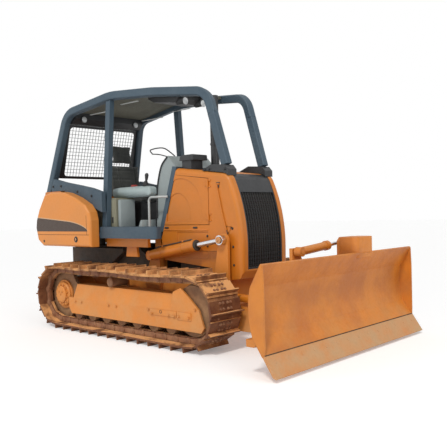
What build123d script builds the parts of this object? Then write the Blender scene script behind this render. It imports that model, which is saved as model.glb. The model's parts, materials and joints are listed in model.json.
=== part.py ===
from build123d import *
import math
import os

# Crawler bulldozer: open canopy, single-grouser tracks and a power-angle-tilt blade.
# Millimetres. While it is built, +X is forward, +Y is left and +Z is up, with x = 0
# midway between the track axles and z = 0 at the grouser tips. On export the model
# shifts along X, so that the origin is under the middle of its overall length.

# ---- running clearances -------------------------------------------------------------
SEAT = 0.3                    # gap between two pieces that rest on each other
PIN_PLAY = 0.3                # radial play of a pivot pin in its eye

# ---- tracks -------------------------------------------------------------------------
AXLE_DISTANCE = 2240
TRACK_GAUGE = 1455            # between the centre lines of the two tracks
SHOE_WIDTH = 406
SHOE_COUNT = 38
PITCH_RADIUS = 290            # bushing line round the sprocket and idler
LINK_DEPTH = 38               # bushing line in to the rail's running face
LINK_RISE = 34                # bushing line out to the underside of the shoe
SHOE_PLATE = 14
SHOE_GAP = 8
SHOE_WEB = 6                  # thin joint that keeps the shoes one loop
GROUSER_HEIGHT = 42
GROUSER_ROOT = 20
GROUSER_TIP = 12
GROUSER_SETBACK = 26          # from the bushing line to the grouser's root
LINK_WIDTH = 34
LINK_OFFSET = 70              # track centre to the middle of each link strip
SAG_FRONT = 16
SAG_REAR = 9
CARRIER_X = -130
SPROCKET_TEETH = 11
SPROCKET_WIDTH = 44
TOOTH_RISE = 5                # tooth tip beyond the chord between two bushings
BUSHING_RADIUS = 26
AXLE_Z = PITCH_RADIUS + LINK_RISE + SHOE_PLATE + GROUSER_HEIGHT
TRACK_Y = TRACK_GAUGE / 2
SHOE_INNER_Y = TRACK_Y - SHOE_WIDTH / 2
SPROCKET_X = -AXLE_DISTANCE / 2
IDLER_X = AXLE_DISTANCE / 2
RAIL_LOW_Z = AXLE_Z - PITCH_RADIUS + LINK_DEPTH
RAIL_HIGH_Z = AXLE_Z + PITCH_RADIUS - LINK_DEPTH
PITCH_TURN = 2 * math.pi / SPROCKET_TEETH
IDLER_RADIUS = PITCH_RADIUS * math.cos(PITCH_TURN / 2) - LINK_DEPTH - SEAT

# ---- rollers and track frame ----------------------------------------------------------
ROLLER_RADIUS = 80
ROLLER_COUNT = 7
ROLLER_FIRST_X = -760
ROLLER_SPACING = 260
ROLLER_SHAFT = 28
CARRIER_RADIUS = 50
CARRIER_PLAY = 1.5            # under the sagging chain
CARRIER_Z = RAIL_HIGH_Z - CARRIER_RADIUS - CARRIER_PLAY
CARRIER_INNER = 106           # track centre in to the end of its shaft
CARRIER_SHAFT = 20
FRAME_HALF_WIDTH = 132
FRAME_WALL = 20
FRAME_LOW_Z = 190
FRAME_BEND_Z = 370
FRAME_TOP_Z = 520
FRAME_TOP_HALF = 74
FRAME_REAR_X = -890
FRAME_FRONT_X = 1290
FRAME_BOX_REAR_X = -800
FRAME_BOX_FRONT_X = 850
HUB_RADIUS = 144
HUB_OUTER_Y = 800
HUB_DOME = 26
DRIVE_RADIUS = 190

# ---- hull ---------------------------------------------------------------------------------
HULL_HALF_WIDTH = 350
BELLY_Z = 345
HULL_TOP_Z = 640
HULL_FRONT_X = 1150
HULL_REAR_X = -1500
HOUSING_HALF_WIDTH = 430
HOUSING_TOP_Z = 930
CROSS_TUBE_RADIUS = 62
CROSS_TUBE_X = (-760, -300)

# ---- hood and nose -------------------------------------------------------------------------
HOOD_HALF_WIDTH = 360
HOOD_WALL = 26
HOOD_SKIRT = 70               # depth of the top cover's sides
RECESS = 6                    # depth of a pressed field in the side panels
HOOD_SILL_Z = 800
SILL_TOP_Z = 1165
HOOD_BREAK_Z = SILL_TOP_Z + 7  # seam under the door, which swings out over the sill
HOOD_REAR_LOW = (175, 1030)
HOOD_REAR_HIGH = (430, 1777)
HOOD_FRONT_HIGH = (1215, 1675)
HOOD_SHOULDER = 46
NOSE_SEAM_X = 900
NOSE_CROWN = ((1085, 1692), (1128, 1682), (1162, 1660), (1184, 1630))
NOSE_MIDDLE = (1296, 1305)
NOSE_FRONT = (1334, 930)
NOSE_FOOT = (1330, 716)
NOSE_CHIN = (1300, 645)
NOSE_LOW = (1170, 630)
NOSE_FLOOR_Z = 762
NOSE_WALL = 34
GRILLE_HALF_WIDTH = 272
GRILLE_REAR_X = 1112          # where the blank panel ends on the hood's top
GRILLE_LOW_Z = 732
GRILLE_PANEL_Z = 1492         # lower edge of the blank panel
GRILLE_INSET = 4
GRILLE_DEPTH = 24
GRILLE_RIM = 18
GRILLE_WIRE = 6
GRILLE_COLUMNS = 13
GRILLE_ROWS = 17
GRILLE_STEPS = 5              # straight steps along the bow
RADIATOR_X = (1040, 1100)
RADIATOR_TOP_Z = 1560
DOOR_GAP = 5
DOOR_FIELD_Z = 1212           # foot of the arched fields in the door
DOOR_ARCHES = (
    ((345, 1580), (380, 1638), (447, 1661), (716, 1562), (800, 1300), (822, DOOR_FIELD_Z), (270, DOOR_FIELD_Z)),
    ((272, 1395), (345, 1482), (450, 1513), (580, 1430), (622, 1300), (640, DOOR_FIELD_Z), (262, DOOR_FIELD_Z)),
)
PANEL_FIELD = (420, 880, 830, 1100)   # x and z limits of the lower panel's field
HINGE_X = NOSE_SEAM_X
HINGE_Y = HOOD_HALF_WIDTH + 10
HINGE_RADIUS = 9
HINGE_PIN_RADIUS = 5
HINGE_HALF = 24
HINGE_Z = (1250, 1590)

# ---- on the hood --------------------------------------------------------------------------
STACK_X = 665
STACK_RADIUS = 46
STACK_WALL = 5
LAMP_X = (452, 640)
LAMP_Y = (-310, -100)
LAMP_TOP_Z = 1912
STACK_TOP_Z = 2550

# ---- operator's station, pods and tank -------------------------------------------------------
FLOOR_TOP_Z = 1100
FLOOR_THICK = 40
FLOOR_REAR_X = -1130
FLOOR_FRONT_X = 165
SILL_X = (-512, 440)          # narrow side sill, from the middle post forward
SILL_Y = (600, 680)
SILL_Z = (1040, SILL_TOP_Z)
SILL_CORNER = 36
SIDE_RAIL_Y = (556, 596)      # platform side frame under the sill
SIDE_RAIL_X = (-500, 215)
SIDE_RAIL_LOW_Z = 945
MOUNT_RADIUS = 48             # rubber mounts under the floor
MOUNT_X = (-1060, -330)
MOUNT_Y = 270
FRONT_MOUNT_X = (40, 130)
POD_OUTER_Y = 820
POD_INNER_Y = 700
POD_OUTLINE = (
    (-1300, 1586), (-1432, 1560), (-1560, 1392), (-1628, 1262), (-1645, 1160), (-1600, 1012),
    (-1490, 945), (-500, 945), (-498, 1243), (-524, 1335), (-608, 1422), (-790, 1506), (-985, 1567), (-1100, 1584),
)
POD_CORNER = 30
TANK_TOP_Z = 1600
SEAT_SPLIT_Z = 1925           # top of the seat's back, under its head part
CONSOLE_TOP_Z = 1490
ARMREST_TOP_Z = 1612

# ---- canopy: centre points (x, y, z) of the left tubes ------------------------------------------
TUBE_WIDTH = 84
TUBE_DEPTH = 92
TUBE_CORNER = 16
POST_FOOT = (-1545, 650, 1590)
POST_SHARE = 0.78              # how far up the rear post its joint with the rail is
RAIL_REAR = (-1262, 565, 2540)
RAIL_CROWN = (-450, 515, 2648)
RAIL_BROW = (150, 417, 2614)
RAIL_FRONT = (860, 300, 2532)
RAIL_REAR_BEND = 210
RAIL_CROWN_BEND = 900         # also at the brow
RAIL_FRONT_BEND = 200
SWEEP_FOOT = (1092, 285, 1772)
FOOT_TOP = ((935, 1782), (1125, 1768), (1166, 1722))
FOOT_REAR_X = 800
FOOT_SIDE = 20                # the bracket beyond the leg, on each side
SWEEP_SHARE = 0.3              # how far down the front leg its joint with the rail is
MID_POST_X = -470
MID_POST_LOW_Y = 615
MID_POST_WIDTH = 60
MID_POST_DEPTH = 78
POST_CROWN_PLAY = 5           # under the rail, whose section leans a little
GUARD_Z = (1770, 2420)
GUARD_RIM = 30
GUARD_CORNER = 45
GUARD_PITCH = 43
GUARD_WIRE = 4
GUARD_SEAT = 0.5              # beside the posts, whose faces lean
ROOF_THICK = 30
ROOF_RISE = 28                # the sheet's top above the rails' centre lines
HEADER_Z = 2424
HEADER_X = (-1296, -1196)
ROOF_UNIT_X = (-60, 430)
ROOF_UNIT_Y = (-300, 110)
ROOF_UNIT_DEPTH = 92
ROOF_REAR_X = -1200
ROOF_FRONT_X = 480

# ---- C-frame and blade ---------------------------------------------------------------------------
ARM_INNER_Y = 398
ARM_THICK = 77
LIFT_PIVOT = (-100, 380)
LIFT_PIN_RADIUS = 45
TOWER_EYE = (1149, 1027)
TOWER_FOOT_X = 1085
TOWER_THICK = 30
LIFT_BASE = (106, 850)
LIFT_Y = 462
LIFT_BARREL_RADIUS = 56
LIFT_BARREL_LENGTH = 720
LIFT_ROD_REACH = 200          # base pin to the rod's rear end, inside the barrel
LIFT_ROD_RADIUS = 27
BLADE_TIP_X = 2400
BLADE_BACK_X = BLADE_TIP_X - 308      # rear edges of the blade's ribs
ANGLE_PIVOT_X = BLADE_TIP_X - 550
CROSS_FRONT_X = ANGLE_PIVOT_X - 110
CROSS_REAR_X = CROSS_FRONT_X - 160
CROSS_LOW_Z = 170
CROSS_HIGH_Z = 400
ANGLE_PIN_RADIUS = 42
ANGLE_BASE_X = TOWER_FOOT_X + 175
ANGLE_EYE = (ANGLE_PIVOT_X + 200, 500)
ANGLE_Z = 478
ANGLE_BARREL_RADIUS = 38
ANGLE_EYE_HALF = ANGLE_BARREL_RADIUS + 2
ANGLE_BARREL_LENGTH = 500
ANGLE_ROD_REACH = 263
ANGLE_ROD_RADIUS = 20
TILT_AXIS_Z = 350
TILT_PIN_RADIUS = 50
TILT_BASE = (-380, 930)
TILT_EYE = (320, 985)
TILT_X = BLADE_BACK_X - 62
TILT_EYE_HALF = 28
TILT_BARREL_RADIUS = 38
TILT_BARREL_LENGTH = 440
TILT_ROD_REACH = 190
TILT_ROD_RADIUS = 20
YOKE_REAR_X = BLADE_BACK_X - 62
YOKE_FRONT_X = BLADE_BACK_X - 17
YOKE_HALF_WIDTH = 560
YOKE_Z = (240, 440)
BLADE_WIDTH = 2440
BLADE_TOP = (BLADE_TIP_X - 115, 885)
BLADE_CREASE = (BLADE_TIP_X - 224, 700)
BLADE_DEEP = (BLADE_TIP_X - 244, 520)
BLADE_LOW = (BLADE_TIP_X - 204, 325)
BLADE_EDGE = (BLADE_TIP_X - 110, 192)
BLADE_PLATE = 18
BLADE_RIB_Y = (150, 380, 640, 900)
BLADE_RIB_THICK = 20
BRACKET_Y = (160, 480)        # the tilt rod's bracket behind the blade's top
BRACKET_TOP_Z = 1035
BLADE_TIP_Z = 30
EDGE_PLATE = 22

# ---- rear ---------------------------------------------------------------------------------------
DRAWBAR_REAR_X = -1770
DRAWBAR_Z = 430
DRAWBAR_PLATE = 38
DRAWBAR_PIN_RADIUS = 20
REAR_BOLTS = (480, 220)       # across and up, on the rear pad
REAR_BOLT_RADIUS = 9
REAR_BOLT_DEPTH = 45
REAR_BOLT_Z = 760

MIDDLE_X = (BLADE_TIP_X + DRAWBAR_REAR_X) / 2
RIGHT, LEFT = -1, 1


# ---- shape helpers --------------------------------------------------------------------------------
def slab(x0, x1, y0, y1, z0, z1):
    """Box between two opposite corners."""
    return Pos((x0 + x1) / 2, (y0 + y1) / 2, (z0 + z1) / 2) * Box(x1 - x0, y1 - y0, z1 - z0)


def side_plate(points, y0, y1):
    """Outline of (x, z) points, from y0 to y1."""
    edge = Polyline(*[(x, y0, z) for x, z in points], close=True)
    return extrude(make_face(edge), amount=y1 - y0, dir=(0, 1, 0))


def front_plate(points, x0, x1):
    """Outline of (y, z) points, from x0 to x1."""
    edge = Polyline(*[(x0, y, z) for y, z in points], close=True)
    return extrude(make_face(edge), amount=x1 - x0, dir=(1, 0, 0))


def plan_plate(points, z0, z1):
    """Outline of (x, y) points, from z0 to z1."""
    edge = Polyline(*[(x, y, z0) for x, y in points], close=True)
    return extrude(make_face(edge), amount=z1 - z0, dir=(0, 0, 1))


def bar(start, end, radius):
    """Round bar between two points."""
    axis = Vector(*end) - Vector(*start)
    place = Plane(origin=start, z_dir=axis)
    return place * Cylinder(radius, axis.length, align=(Align.CENTER, Align.CENTER, Align.MIN))


def across(x, z, radius, y0, y1):
    """Round bar along Y."""
    return bar((x, y0, z), (x, y1, z), radius)


def turned(profile, x, y, z):
    """Solid turned about the Y direction through (x, y, z), from (radius, y offset) points."""
    edge = Polyline(*[(radius, offset, 0) for radius, offset in profile], close=True)
    return Pos(x, y, z) * revolve(make_face(edge), axis=Axis.Y)


def on_side(shape, side):
    """The left-hand piece as it is, or its mirror image for the right."""
    return shape if side == LEFT else mirror(shape, about=Plane.XZ)


def both_sides(shape):
    """The left-hand piece and its mirror image, as separate solids."""
    return group(shape, on_side(shape, RIGHT))


def group(*shapes):
    """Separate solids of one node."""
    return Compound([solid for shape in shapes for solid in shape.solids()])


def link_plate(start, end, start_radius, end_radius):
    """Outline points, in any plane, of a plate that tapers between two round ends."""
    (ax, az), (bx, bz) = start, end
    run = math.hypot(bx - ax, bz - az)
    lean = math.atan2(bz - az, bx - ax)
    open_angle = math.acos((start_radius - end_radius) / run)
    points = []
    for (cx, cz), radius, first, last in (
        ((ax, az), start_radius, lean + open_angle, lean + 2 * math.pi - open_angle),
        ((bx, bz), end_radius, lean - open_angle, lean + open_angle),
    ):
        steps = 6
        for i in range(steps + 1):
            a = first + (last - first) * i / steps
            points.append((cx + radius * math.cos(a), cz + radius * math.sin(a)))
    return points


# ---- tracks ----------------------------------------------------------------------------------------
def chain_point(distance):
    """Point (x, z) of the bushing line, this far from the rear end of the ground run."""
    half_turn = math.pi * PITCH_RADIUS
    if distance < AXLE_DISTANCE:
        return SPROCKET_X + distance, AXLE_Z - PITCH_RADIUS
    distance -= AXLE_DISTANCE
    if distance < half_turn:
        a = distance / PITCH_RADIUS - math.pi / 2
        return IDLER_X + PITCH_RADIUS * math.cos(a), AXLE_Z + PITCH_RADIUS * math.sin(a)
    distance -= half_turn
    if distance < AXLE_DISTANCE:
        x = IDLER_X - distance
        near, far, sag = (IDLER_X, CARRIER_X, SAG_FRONT) if x > CARRIER_X else (CARRIER_X, SPROCKET_X, SAG_REAR)
        share = (near - x) / (near - far)
        return x, AXLE_Z + PITCH_RADIUS - sag * (1 - math.cos(2 * math.pi * share)) / 2
    distance -= AXLE_DISTANCE
    a = distance / PITCH_RADIUS + math.pi / 2
    return SPROCKET_X + PITCH_RADIUS * math.cos(a), AXLE_Z + PITCH_RADIUS * math.sin(a)


def bushings():
    """Bushing centres round one track, equally spaced along the chain."""
    pitch = (2 * AXLE_DISTANCE + 2 * math.pi * PITCH_RADIUS) / SHOE_COUNT
    return [chain_point(i * pitch) for i in range(SHOE_COUNT)]


def chord_frames(points):
    """For each link: its rear bushing, its direction, its outward normal and its length."""
    frames = []
    for i, (x0, z0) in enumerate(points):
        x1, z1 = points[(i + 1) % len(points)]
        length = math.hypot(x1 - x0, z1 - z0)
        tx, tz = (x1 - x0) / length, (z1 - z0) / length
        frames.append(((x0, z0), (tx, tz), (tz, -tx), length))
    return frames


def offset_ring(points, rise):
    """The bushing polygon moved out by rise, or in where rise is negative."""
    frames = chord_frames(points)
    ring = []
    for i, ((x, z), (tx, tz), (nx, nz), length) in enumerate(frames):
        px, pz = frames[i - 1][2]
        half = math.hypot(nx + px, nz + pz)
        scale = rise * 2 / half ** 2
        ring.append((x + (nx + px) * scale, z + (nz + pz) * scale))
    return ring


def shoe_outline(points):
    """Outline of all the shoes: plate, grouser and the gap to the next shoe."""
    top = LINK_RISE + SHOE_PLATE
    tip = top + GROUSER_HEIGHT
    slope = (GROUSER_ROOT - GROUSER_TIP) / 2
    outline = []
    for (x, z), (tx, tz), (nx, nz), length in chord_frames(points):
        for along, rise in (
            (SHOE_GAP / 2, LINK_RISE),
            (SHOE_GAP / 2, top),
            (GROUSER_SETBACK, top),
            (GROUSER_SETBACK + slope, tip),
            (GROUSER_SETBACK + slope + GROUSER_TIP, tip),
            (GROUSER_SETBACK + GROUSER_ROOT, top),
            (length - SHOE_GAP / 2, top),
            (length - SHOE_GAP / 2, LINK_RISE),
        ):
            outline.append((x + along * tx + rise * nx, z + along * tz + rise * nz))
    return outline


def track():
    """Left track: a loop of shoes on two strips of links."""
    points = bushings()
    y0, y1 = SHOE_INNER_Y, SHOE_INNER_Y + SHOE_WIDTH
    under = LINK_RISE - SHOE_WEB
    loop = side_plate(shoe_outline(points), y0, y1) - side_plate(offset_ring(points, under), y0 - 1, y1 + 1)
    for offset in (-LINK_OFFSET, LINK_OFFSET):
        low, high = TRACK_Y + offset - LINK_WIDTH / 2, TRACK_Y + offset + LINK_WIDTH / 2
        strip = side_plate(offset_ring(points, under + SHOE_WEB / 3), low, high)
        strip -= side_plate(offset_ring(points, -LINK_DEPTH), low - 1, high + 1)
        loop += strip
    return loop


def sprocket():
    """Left drive sprocket, its teeth between the bushings."""
    points = bushings()
    x, z = points[-1]
    first = math.atan2(z - AXLE_Z, x - SPROCKET_X)
    root = PITCH_RADIUS - BUSHING_RADIUS
    tip = PITCH_RADIUS * math.cos(PITCH_TURN / 2) + TOOTH_RISE
    outline = []
    for i in range(SPROCKET_TEETH):
        for share, radius in ((-0.16, root), (0.16, root), (0.4, tip), (0.6, tip)):
            a = first + (i + share) * PITCH_TURN
            outline.append((SPROCKET_X + radius * math.cos(a), AXLE_Z + radius * math.sin(a)))
    wheel = side_plate(outline, TRACK_Y - SPROCKET_WIDTH / 2, TRACK_Y + SPROCKET_WIDTH / 2)
    return wheel


def final_drive():
    """Left final drive: the housing from the hull and the stepped hub cover outside the sprocket."""
    face = SPROCKET_WIDTH / 2 + SEAT
    outer = HUB_OUTER_Y - TRACK_Y
    boss = HUB_RADIUS * 0.68
    inner = across(SPROCKET_X, AXLE_Z, DRIVE_RADIUS, HOUSING_HALF_WIDTH + SEAT, TRACK_Y - face)
    cover = turned(
        (
            (0, face), (HUB_RADIUS + 22, face), (HUB_RADIUS + 22, face + 20), (HUB_RADIUS, face + 20),
            (HUB_RADIUS, outer - 12), (HUB_RADIUS - 14, outer), (boss, outer), (boss, outer + HUB_DOME - 8),
            (boss - 16, outer + HUB_DOME), (0, outer + HUB_DOME),
        ),
        SPROCKET_X, TRACK_Y, AXLE_Z,
    )
    return group(inner, cover)


def idler():
    """Left front idler: a rim for the links, a guide flange between them and its hub."""
    rim = LINK_OFFSET + LINK_WIDTH / 2 + 6
    flange = LINK_OFFSET - LINK_WIDTH / 2 - 8
    shaft = FRAME_HALF_WIDTH - FRAME_WALL - SEAT
    half = ((0, shaft), (40, shaft), (40, rim), (IDLER_RADIUS, rim), (IDLER_RADIUS, flange), (IDLER_RADIUS + 18, flange - 6))
    profile = half + tuple((radius, -offset) for radius, offset in reversed(half))
    return turned(profile, IDLER_X, TRACK_Y, AXLE_Z)


def roller(x, z, radius, shaft):
    """Left roller with its shaft to the frame."""
    outer = LINK_OFFSET + LINK_WIDTH / 2 + 4
    half = ((0, shaft), (ROLLER_SHAFT, shaft), (ROLLER_SHAFT, outer), (radius, outer))
    profile = half + tuple((r, -offset) for r, offset in reversed(half))
    return turned(profile, x, TRACK_Y, z)


def rollers():
    """Bottom rollers and the carrier roller of both sides."""
    shaft = FRAME_HALF_WIDTH - FRAME_WALL - SEAT
    low_z = RAIL_LOW_Z + ROLLER_RADIUS + SEAT
    wheels = [roller(ROLLER_FIRST_X + i * ROLLER_SPACING, low_z, ROLLER_RADIUS, shaft) for i in range(ROLLER_COUNT)]
    outer = LINK_OFFSET + LINK_WIDTH / 2 + 4
    carrier = turned(
        (
            (0, -CARRIER_INNER), (CARRIER_SHAFT, -CARRIER_INNER), (CARRIER_SHAFT, -outer), (CARRIER_RADIUS, -outer),
            (CARRIER_RADIUS, outer + 24), (CARRIER_RADIUS - 12, outer + 34), (0, outer + 34),
        ),
        CARRIER_X, TRACK_Y, CARRIER_Z,
    )
    return both_sides(group(*wheels, carrier))


def track_frame():
    """Left track frame: a box open below, with the idler's fork in front."""
    low, high = FRAME_LOW_Z, FRAME_TOP_Z
    half, inside = FRAME_HALF_WIDTH, FRAME_HALF_WIDTH - FRAME_WALL
    section = [(-half, low), (-half, FRAME_BEND_Z), (-FRAME_TOP_HALF, high)]
    section += [(-y, z) for y, z in reversed(section)]
    hollow = [(-inside, low - 5), (-inside, FRAME_BEND_Z - 40), (inside, FRAME_BEND_Z - 40), (inside, low - 5)]
    box = front_plate([(TRACK_Y + y, z) for y, z in section], FRAME_BOX_REAR_X, FRAME_BOX_FRONT_X)
    box -= front_plate([(TRACK_Y + y, z) for y, z in hollow], FRAME_BOX_REAR_X - 5, FRAME_BOX_FRONT_X + 5)
    front = [(FRAME_BOX_FRONT_X - 10, low), (FRAME_BOX_FRONT_X - 10, FRAME_BEND_Z + 50)]
    front += [(FRAME_FRONT_X - 410, FRAME_TOP_Z + 30), (FRAME_FRONT_X - 305, FRAME_TOP_Z + 72)]
    front += [(FRAME_FRONT_X - 190, FRAME_TOP_Z - 14), (FRAME_FRONT_X - 62, AXLE_Z + 18)]
    front += [(FRAME_FRONT_X, AXLE_Z - 140), (FRAME_FRONT_X - 40, low)]
    rear = [(FRAME_BOX_REAR_X + 10, low), (FRAME_BOX_REAR_X + 10, FRAME_BEND_Z), (FRAME_REAR_X, FRAME_BEND_Z)]
    rear += [(FRAME_REAR_X, low + 60), (FRAME_REAR_X + 50, low)]
    for y0, y1 in ((TRACK_Y - half, TRACK_Y - inside), (TRACK_Y + inside, TRACK_Y + half)):
        box += side_plate(front, y0, y1) + side_plate(rear, y0, y1)
    plate = [(CARRIER_X - 70, FRAME_BEND_Z), (CARRIER_X - 26, CARRIER_Z + 30), (CARRIER_X + 26, CARRIER_Z + 30)]
    plate += [(CARRIER_X + 70, FRAME_BEND_Z)]
    box += side_plate(plate, TRACK_Y - CARRIER_INNER - 16, TRACK_Y - CARRIER_INNER - SEAT)
    return box


# ---- hull ----------------------------------------------------------------------------------------------
def hull():
    """Main frame between the tracks, with the cross tubes that carry the track frames."""
    outline = [
        (HULL_REAR_X + 260, BELLY_Z), (HULL_FRONT_X - 140, BELLY_Z), (HULL_FRONT_X, BELLY_Z + 110),
        (HULL_FRONT_X, NOSE_LOW[1] - SEAT), (HULL_FRONT_X - 60, HULL_TOP_Z), (HULL_REAR_X + 260, HULL_TOP_Z),
    ]
    body = side_plate(outline, -HULL_HALF_WIDTH, HULL_HALF_WIDTH)
    reach = TRACK_Y - FRAME_HALF_WIDTH - SEAT
    x0, z0 = LIFT_PIVOT
    for side in (RIGHT, LEFT):
        for x in CROSS_TUBE_X:
            body += on_side(across(x, 430, CROSS_TUBE_RADIUS, HULL_HALF_WIDTH - 5, reach), side)
        pin = across(x0, z0, LIFT_PIN_RADIUS, HULL_HALF_WIDTH - 5, ARM_INNER_Y + ARM_THICK + 12)
        pin += across(x0, z0, LIFT_PIN_RADIUS + 28, HULL_HALF_WIDTH - 5, ARM_INNER_Y - 6)
        base = link_plate(LIFT_BASE, (LIFT_BASE[0] - 60, HULL_TOP_Z - 90), 62, 130)
        ear = side_plate(base, HULL_HALF_WIDTH - 20, HULL_HALF_WIDTH + 45)
        stud = across(*LIFT_BASE, 30, HULL_HALF_WIDTH, LIFT_Y + 34)
        mount = slab(*FRONT_MOUNT_X, MOUNT_Y - 20, HULL_HALF_WIDTH - 10, HULL_TOP_Z - 5, FLOOR_TOP_Z - FLOOR_THICK - SEAT)
        body += on_side(pin + ear + stud + mount, side)
    return body


def drive_housing():
    """Transmission and rear axle housing under the seat, with the drawbar's pads."""
    outline = [
        (HULL_REAR_X, HOUSING_TOP_Z), (HULL_REAR_X, 520), (HULL_REAR_X + 90, BELLY_Z + 10),
        (HULL_REAR_X + 260 - SEAT, BELLY_Z + 10), (HULL_REAR_X + 260 - SEAT, HULL_TOP_Z + SEAT),
        (-60, HULL_TOP_Z + SEAT), (-60, 800), (-240, HOUSING_TOP_Z),
    ]
    wide = [
        (HULL_REAR_X + 60, HOUSING_TOP_Z - 20), (HULL_REAR_X + 60, 560), (HULL_REAR_X + 160, HULL_TOP_Z + 60),
        (-700, HULL_TOP_Z + 60), (-420, HOUSING_TOP_Z - 60), (-420, HOUSING_TOP_Z - 20),
    ]
    body = side_plate(outline, -HULL_HALF_WIDTH, HULL_HALF_WIDTH)
    body += side_plate(wide, -HOUSING_HALF_WIDTH, HOUSING_HALF_WIDTH)
    carrier = bar((SPROCKET_X, -HOUSING_HALF_WIDTH, AXLE_Z), (SPROCKET_X, HOUSING_HALF_WIDTH, AXLE_Z), DRIVE_RADIUS)
    body += carrier - slab(HULL_REAR_X + 260 - SEAT, 0, -500, 500, 0, HULL_TOP_Z + SEAT)
    for y in (-REAR_BOLTS[0] / 2, REAR_BOLTS[0] / 2):
        for z in (REAR_BOLT_Z - REAR_BOLTS[1] / 2, REAR_BOLT_Z + REAR_BOLTS[1] / 2):
            body -= bar((HULL_REAR_X - 5, y, z), (HULL_REAR_X + REAR_BOLT_DEPTH, y, z), REAR_BOLT_RADIUS)
    for x in MOUNT_X:
        for y in (-MOUNT_Y, MOUNT_Y):
            body += bar((x, y, HOUSING_TOP_Z - 5), (x, y, FLOOR_TOP_Z - FLOOR_THICK - SEAT), MOUNT_RADIUS)
    return body


def drawbar():
    """Rear drawbar: a plate with the hitch pin's bore, on a bracket behind the housing."""
    z0, z1 = DRAWBAR_Z - DRAWBAR_PLATE / 2, DRAWBAR_Z + DRAWBAR_PLATE / 2
    tongue = plan_plate(
        [(HULL_REAR_X + 90, -150), (HULL_REAR_X - 90, -150), (DRAWBAR_REAR_X + 40, -75), (DRAWBAR_REAR_X, -40),
         (DRAWBAR_REAR_X, 40), (DRAWBAR_REAR_X + 40, 75), (HULL_REAR_X - 90, 150), (HULL_REAR_X + 90, 150)],
        z0, z1,
    )
    tongue -= Pos(DRAWBAR_REAR_X + 75, 0, DRAWBAR_Z) * Cylinder(DRAWBAR_PIN_RADIUS, DRAWBAR_PLATE * 2)
    block = slab(HULL_REAR_X - 60, HULL_REAR_X - SEAT, -150, 150, z1 - 1, 620)
    cut = side_plate(
        [(HULL_REAR_X - SEAT, 1000), (HULL_REAR_X - SEAT, 520), (HULL_REAR_X + 90, BELLY_Z + 10 - 2 * SEAT),
         (HULL_REAR_X + 300, BELLY_Z + 10), (HULL_REAR_X + 300, 1000)], -400, 400,
    )
    return tongue + block - cut


def engine_block():
    """Engine, as one plain block at its real place and size."""
    return slab(330, NOSE_SEAM_X - 20, -230, 230, HULL_TOP_Z + SEAT, 1420)


# ---- hood ----------------------------------------------------------------------------------------------
def hood_line(x):
    """Height of the hood's top at x."""
    (x0, z0), (x1, z1) = HOOD_REAR_HIGH, HOOD_FRONT_HIGH
    return z0 + (z1 - z0) * (x - x0) / (x1 - x0)


def rear_edge_x(z):
    """x of the hood's slanted rear edge at height z."""
    (x0, z0), (x1, z1) = HOOD_REAR_LOW, HOOD_REAR_HIGH
    return x0 + (x1 - x0) * (z - z0) / (z1 - z0)


def hood_skin(x0, x1):
    """Outline points (x, z) of the space up to the seat on the hood's top, between x0 and x1."""
    return [(x0, hood_line(x0) + SEAT), (x1, hood_line(x1) + SEAT), (x1, 1000), (x0, 1000)]


def hood_top():
    """Top cover of the engine, with rounded shoulders."""
    x1 = NOSE_SEAM_X + DOOR_GAP / 2 - SEAT
    x0, z0 = HOOD_REAR_HIGH
    outline = [(rear_edge_x(z0 - HOOD_SKIRT) + 1, z0 - HOOD_SKIRT), (x0, z0), (x1, hood_line(x1)), (x1, hood_line(x1) - HOOD_SKIRT)]
    cover = side_plate(outline, -HOOD_HALF_WIDTH, HOOD_HALF_WIDTH)
    shoulders = cover.edges().filter_by(lambda e: abs(e.center().Y) > HOOD_HALF_WIDTH - 1)
    top_edges = [e for e in shoulders if e.center().Z > hood_line(e.center().X) - 2 and e.length > 300]
    cover = fillet(top_edges, HOOD_SHOULDER)
    inside = HOOD_HALF_WIDTH - HOOD_WALL
    low = z0 - 3 * HOOD_SKIRT
    hollow = [(300, low), (300, hood_line(300) - HOOD_WALL), (x1 + 5, hood_line(x1 + 5) - HOOD_WALL), (x1 + 5, low)]
    return cover - side_plate(hollow, -inside, inside)


def pressed(arch, deep):
    """Cutter for an arched field in the left door, from (x, z) points: two arcs over a flat foot."""
    places = [(x, HOOD_HALF_WIDTH - deep, z) for x, z in arch]
    (a, b, c, d, e), (last, first) = places[:5], places[5:]
    edge = ThreePointArc(a, b, c) + ThreePointArc(c, d, e) + Line(e, last) + Line(last, first) + Line(first, a)
    return extrude(make_face(edge), amount=deep + 5, dir=(0, 1, 0))


def engine_door():
    """Left engine side door, hinged on its front edge, with two pressed arches."""
    x1 = NOSE_SEAM_X - DOOR_GAP
    low = HOOD_BREAK_Z + DOOR_GAP
    drop = HOOD_SKIRT + DOOR_GAP
    high0, high1 = hood_line(rear_edge_x(1690)) - drop, hood_line(x1) - drop
    outline = [(rear_edge_x(low), low), (rear_edge_x(high0), high0), (x1, high1), (x1, low)]
    door = side_plate(outline, HOOD_HALF_WIDTH - HOOD_WALL, HOOD_HALF_WIDTH)
    for deep, arch in zip((RECESS, 2 * RECESS), DOOR_ARCHES):
        door -= pressed(arch, deep)
    for z in HINGE_Z:
        leaf = slab(HINGE_X - 45, HINGE_X, HOOD_HALF_WIDTH - 3, HOOD_HALF_WIDTH + 7, z - HINGE_HALF, z + HINGE_HALF)
        leaf -= slab(x1, HINGE_X + 1, 0, HOOD_HALF_WIDTH, z - 50, z + 50)
        leaf += bar((HINGE_X, HINGE_Y, z - HINGE_HALF), (HINGE_X, HINGE_Y, z + HINGE_HALF), HINGE_RADIUS)
        door += leaf - bar((HINGE_X, HINGE_Y, z - 50), (HINGE_X, HINGE_Y, z + 50), HINGE_PIN_RADIUS + PIN_PLAY)
    return door


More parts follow.
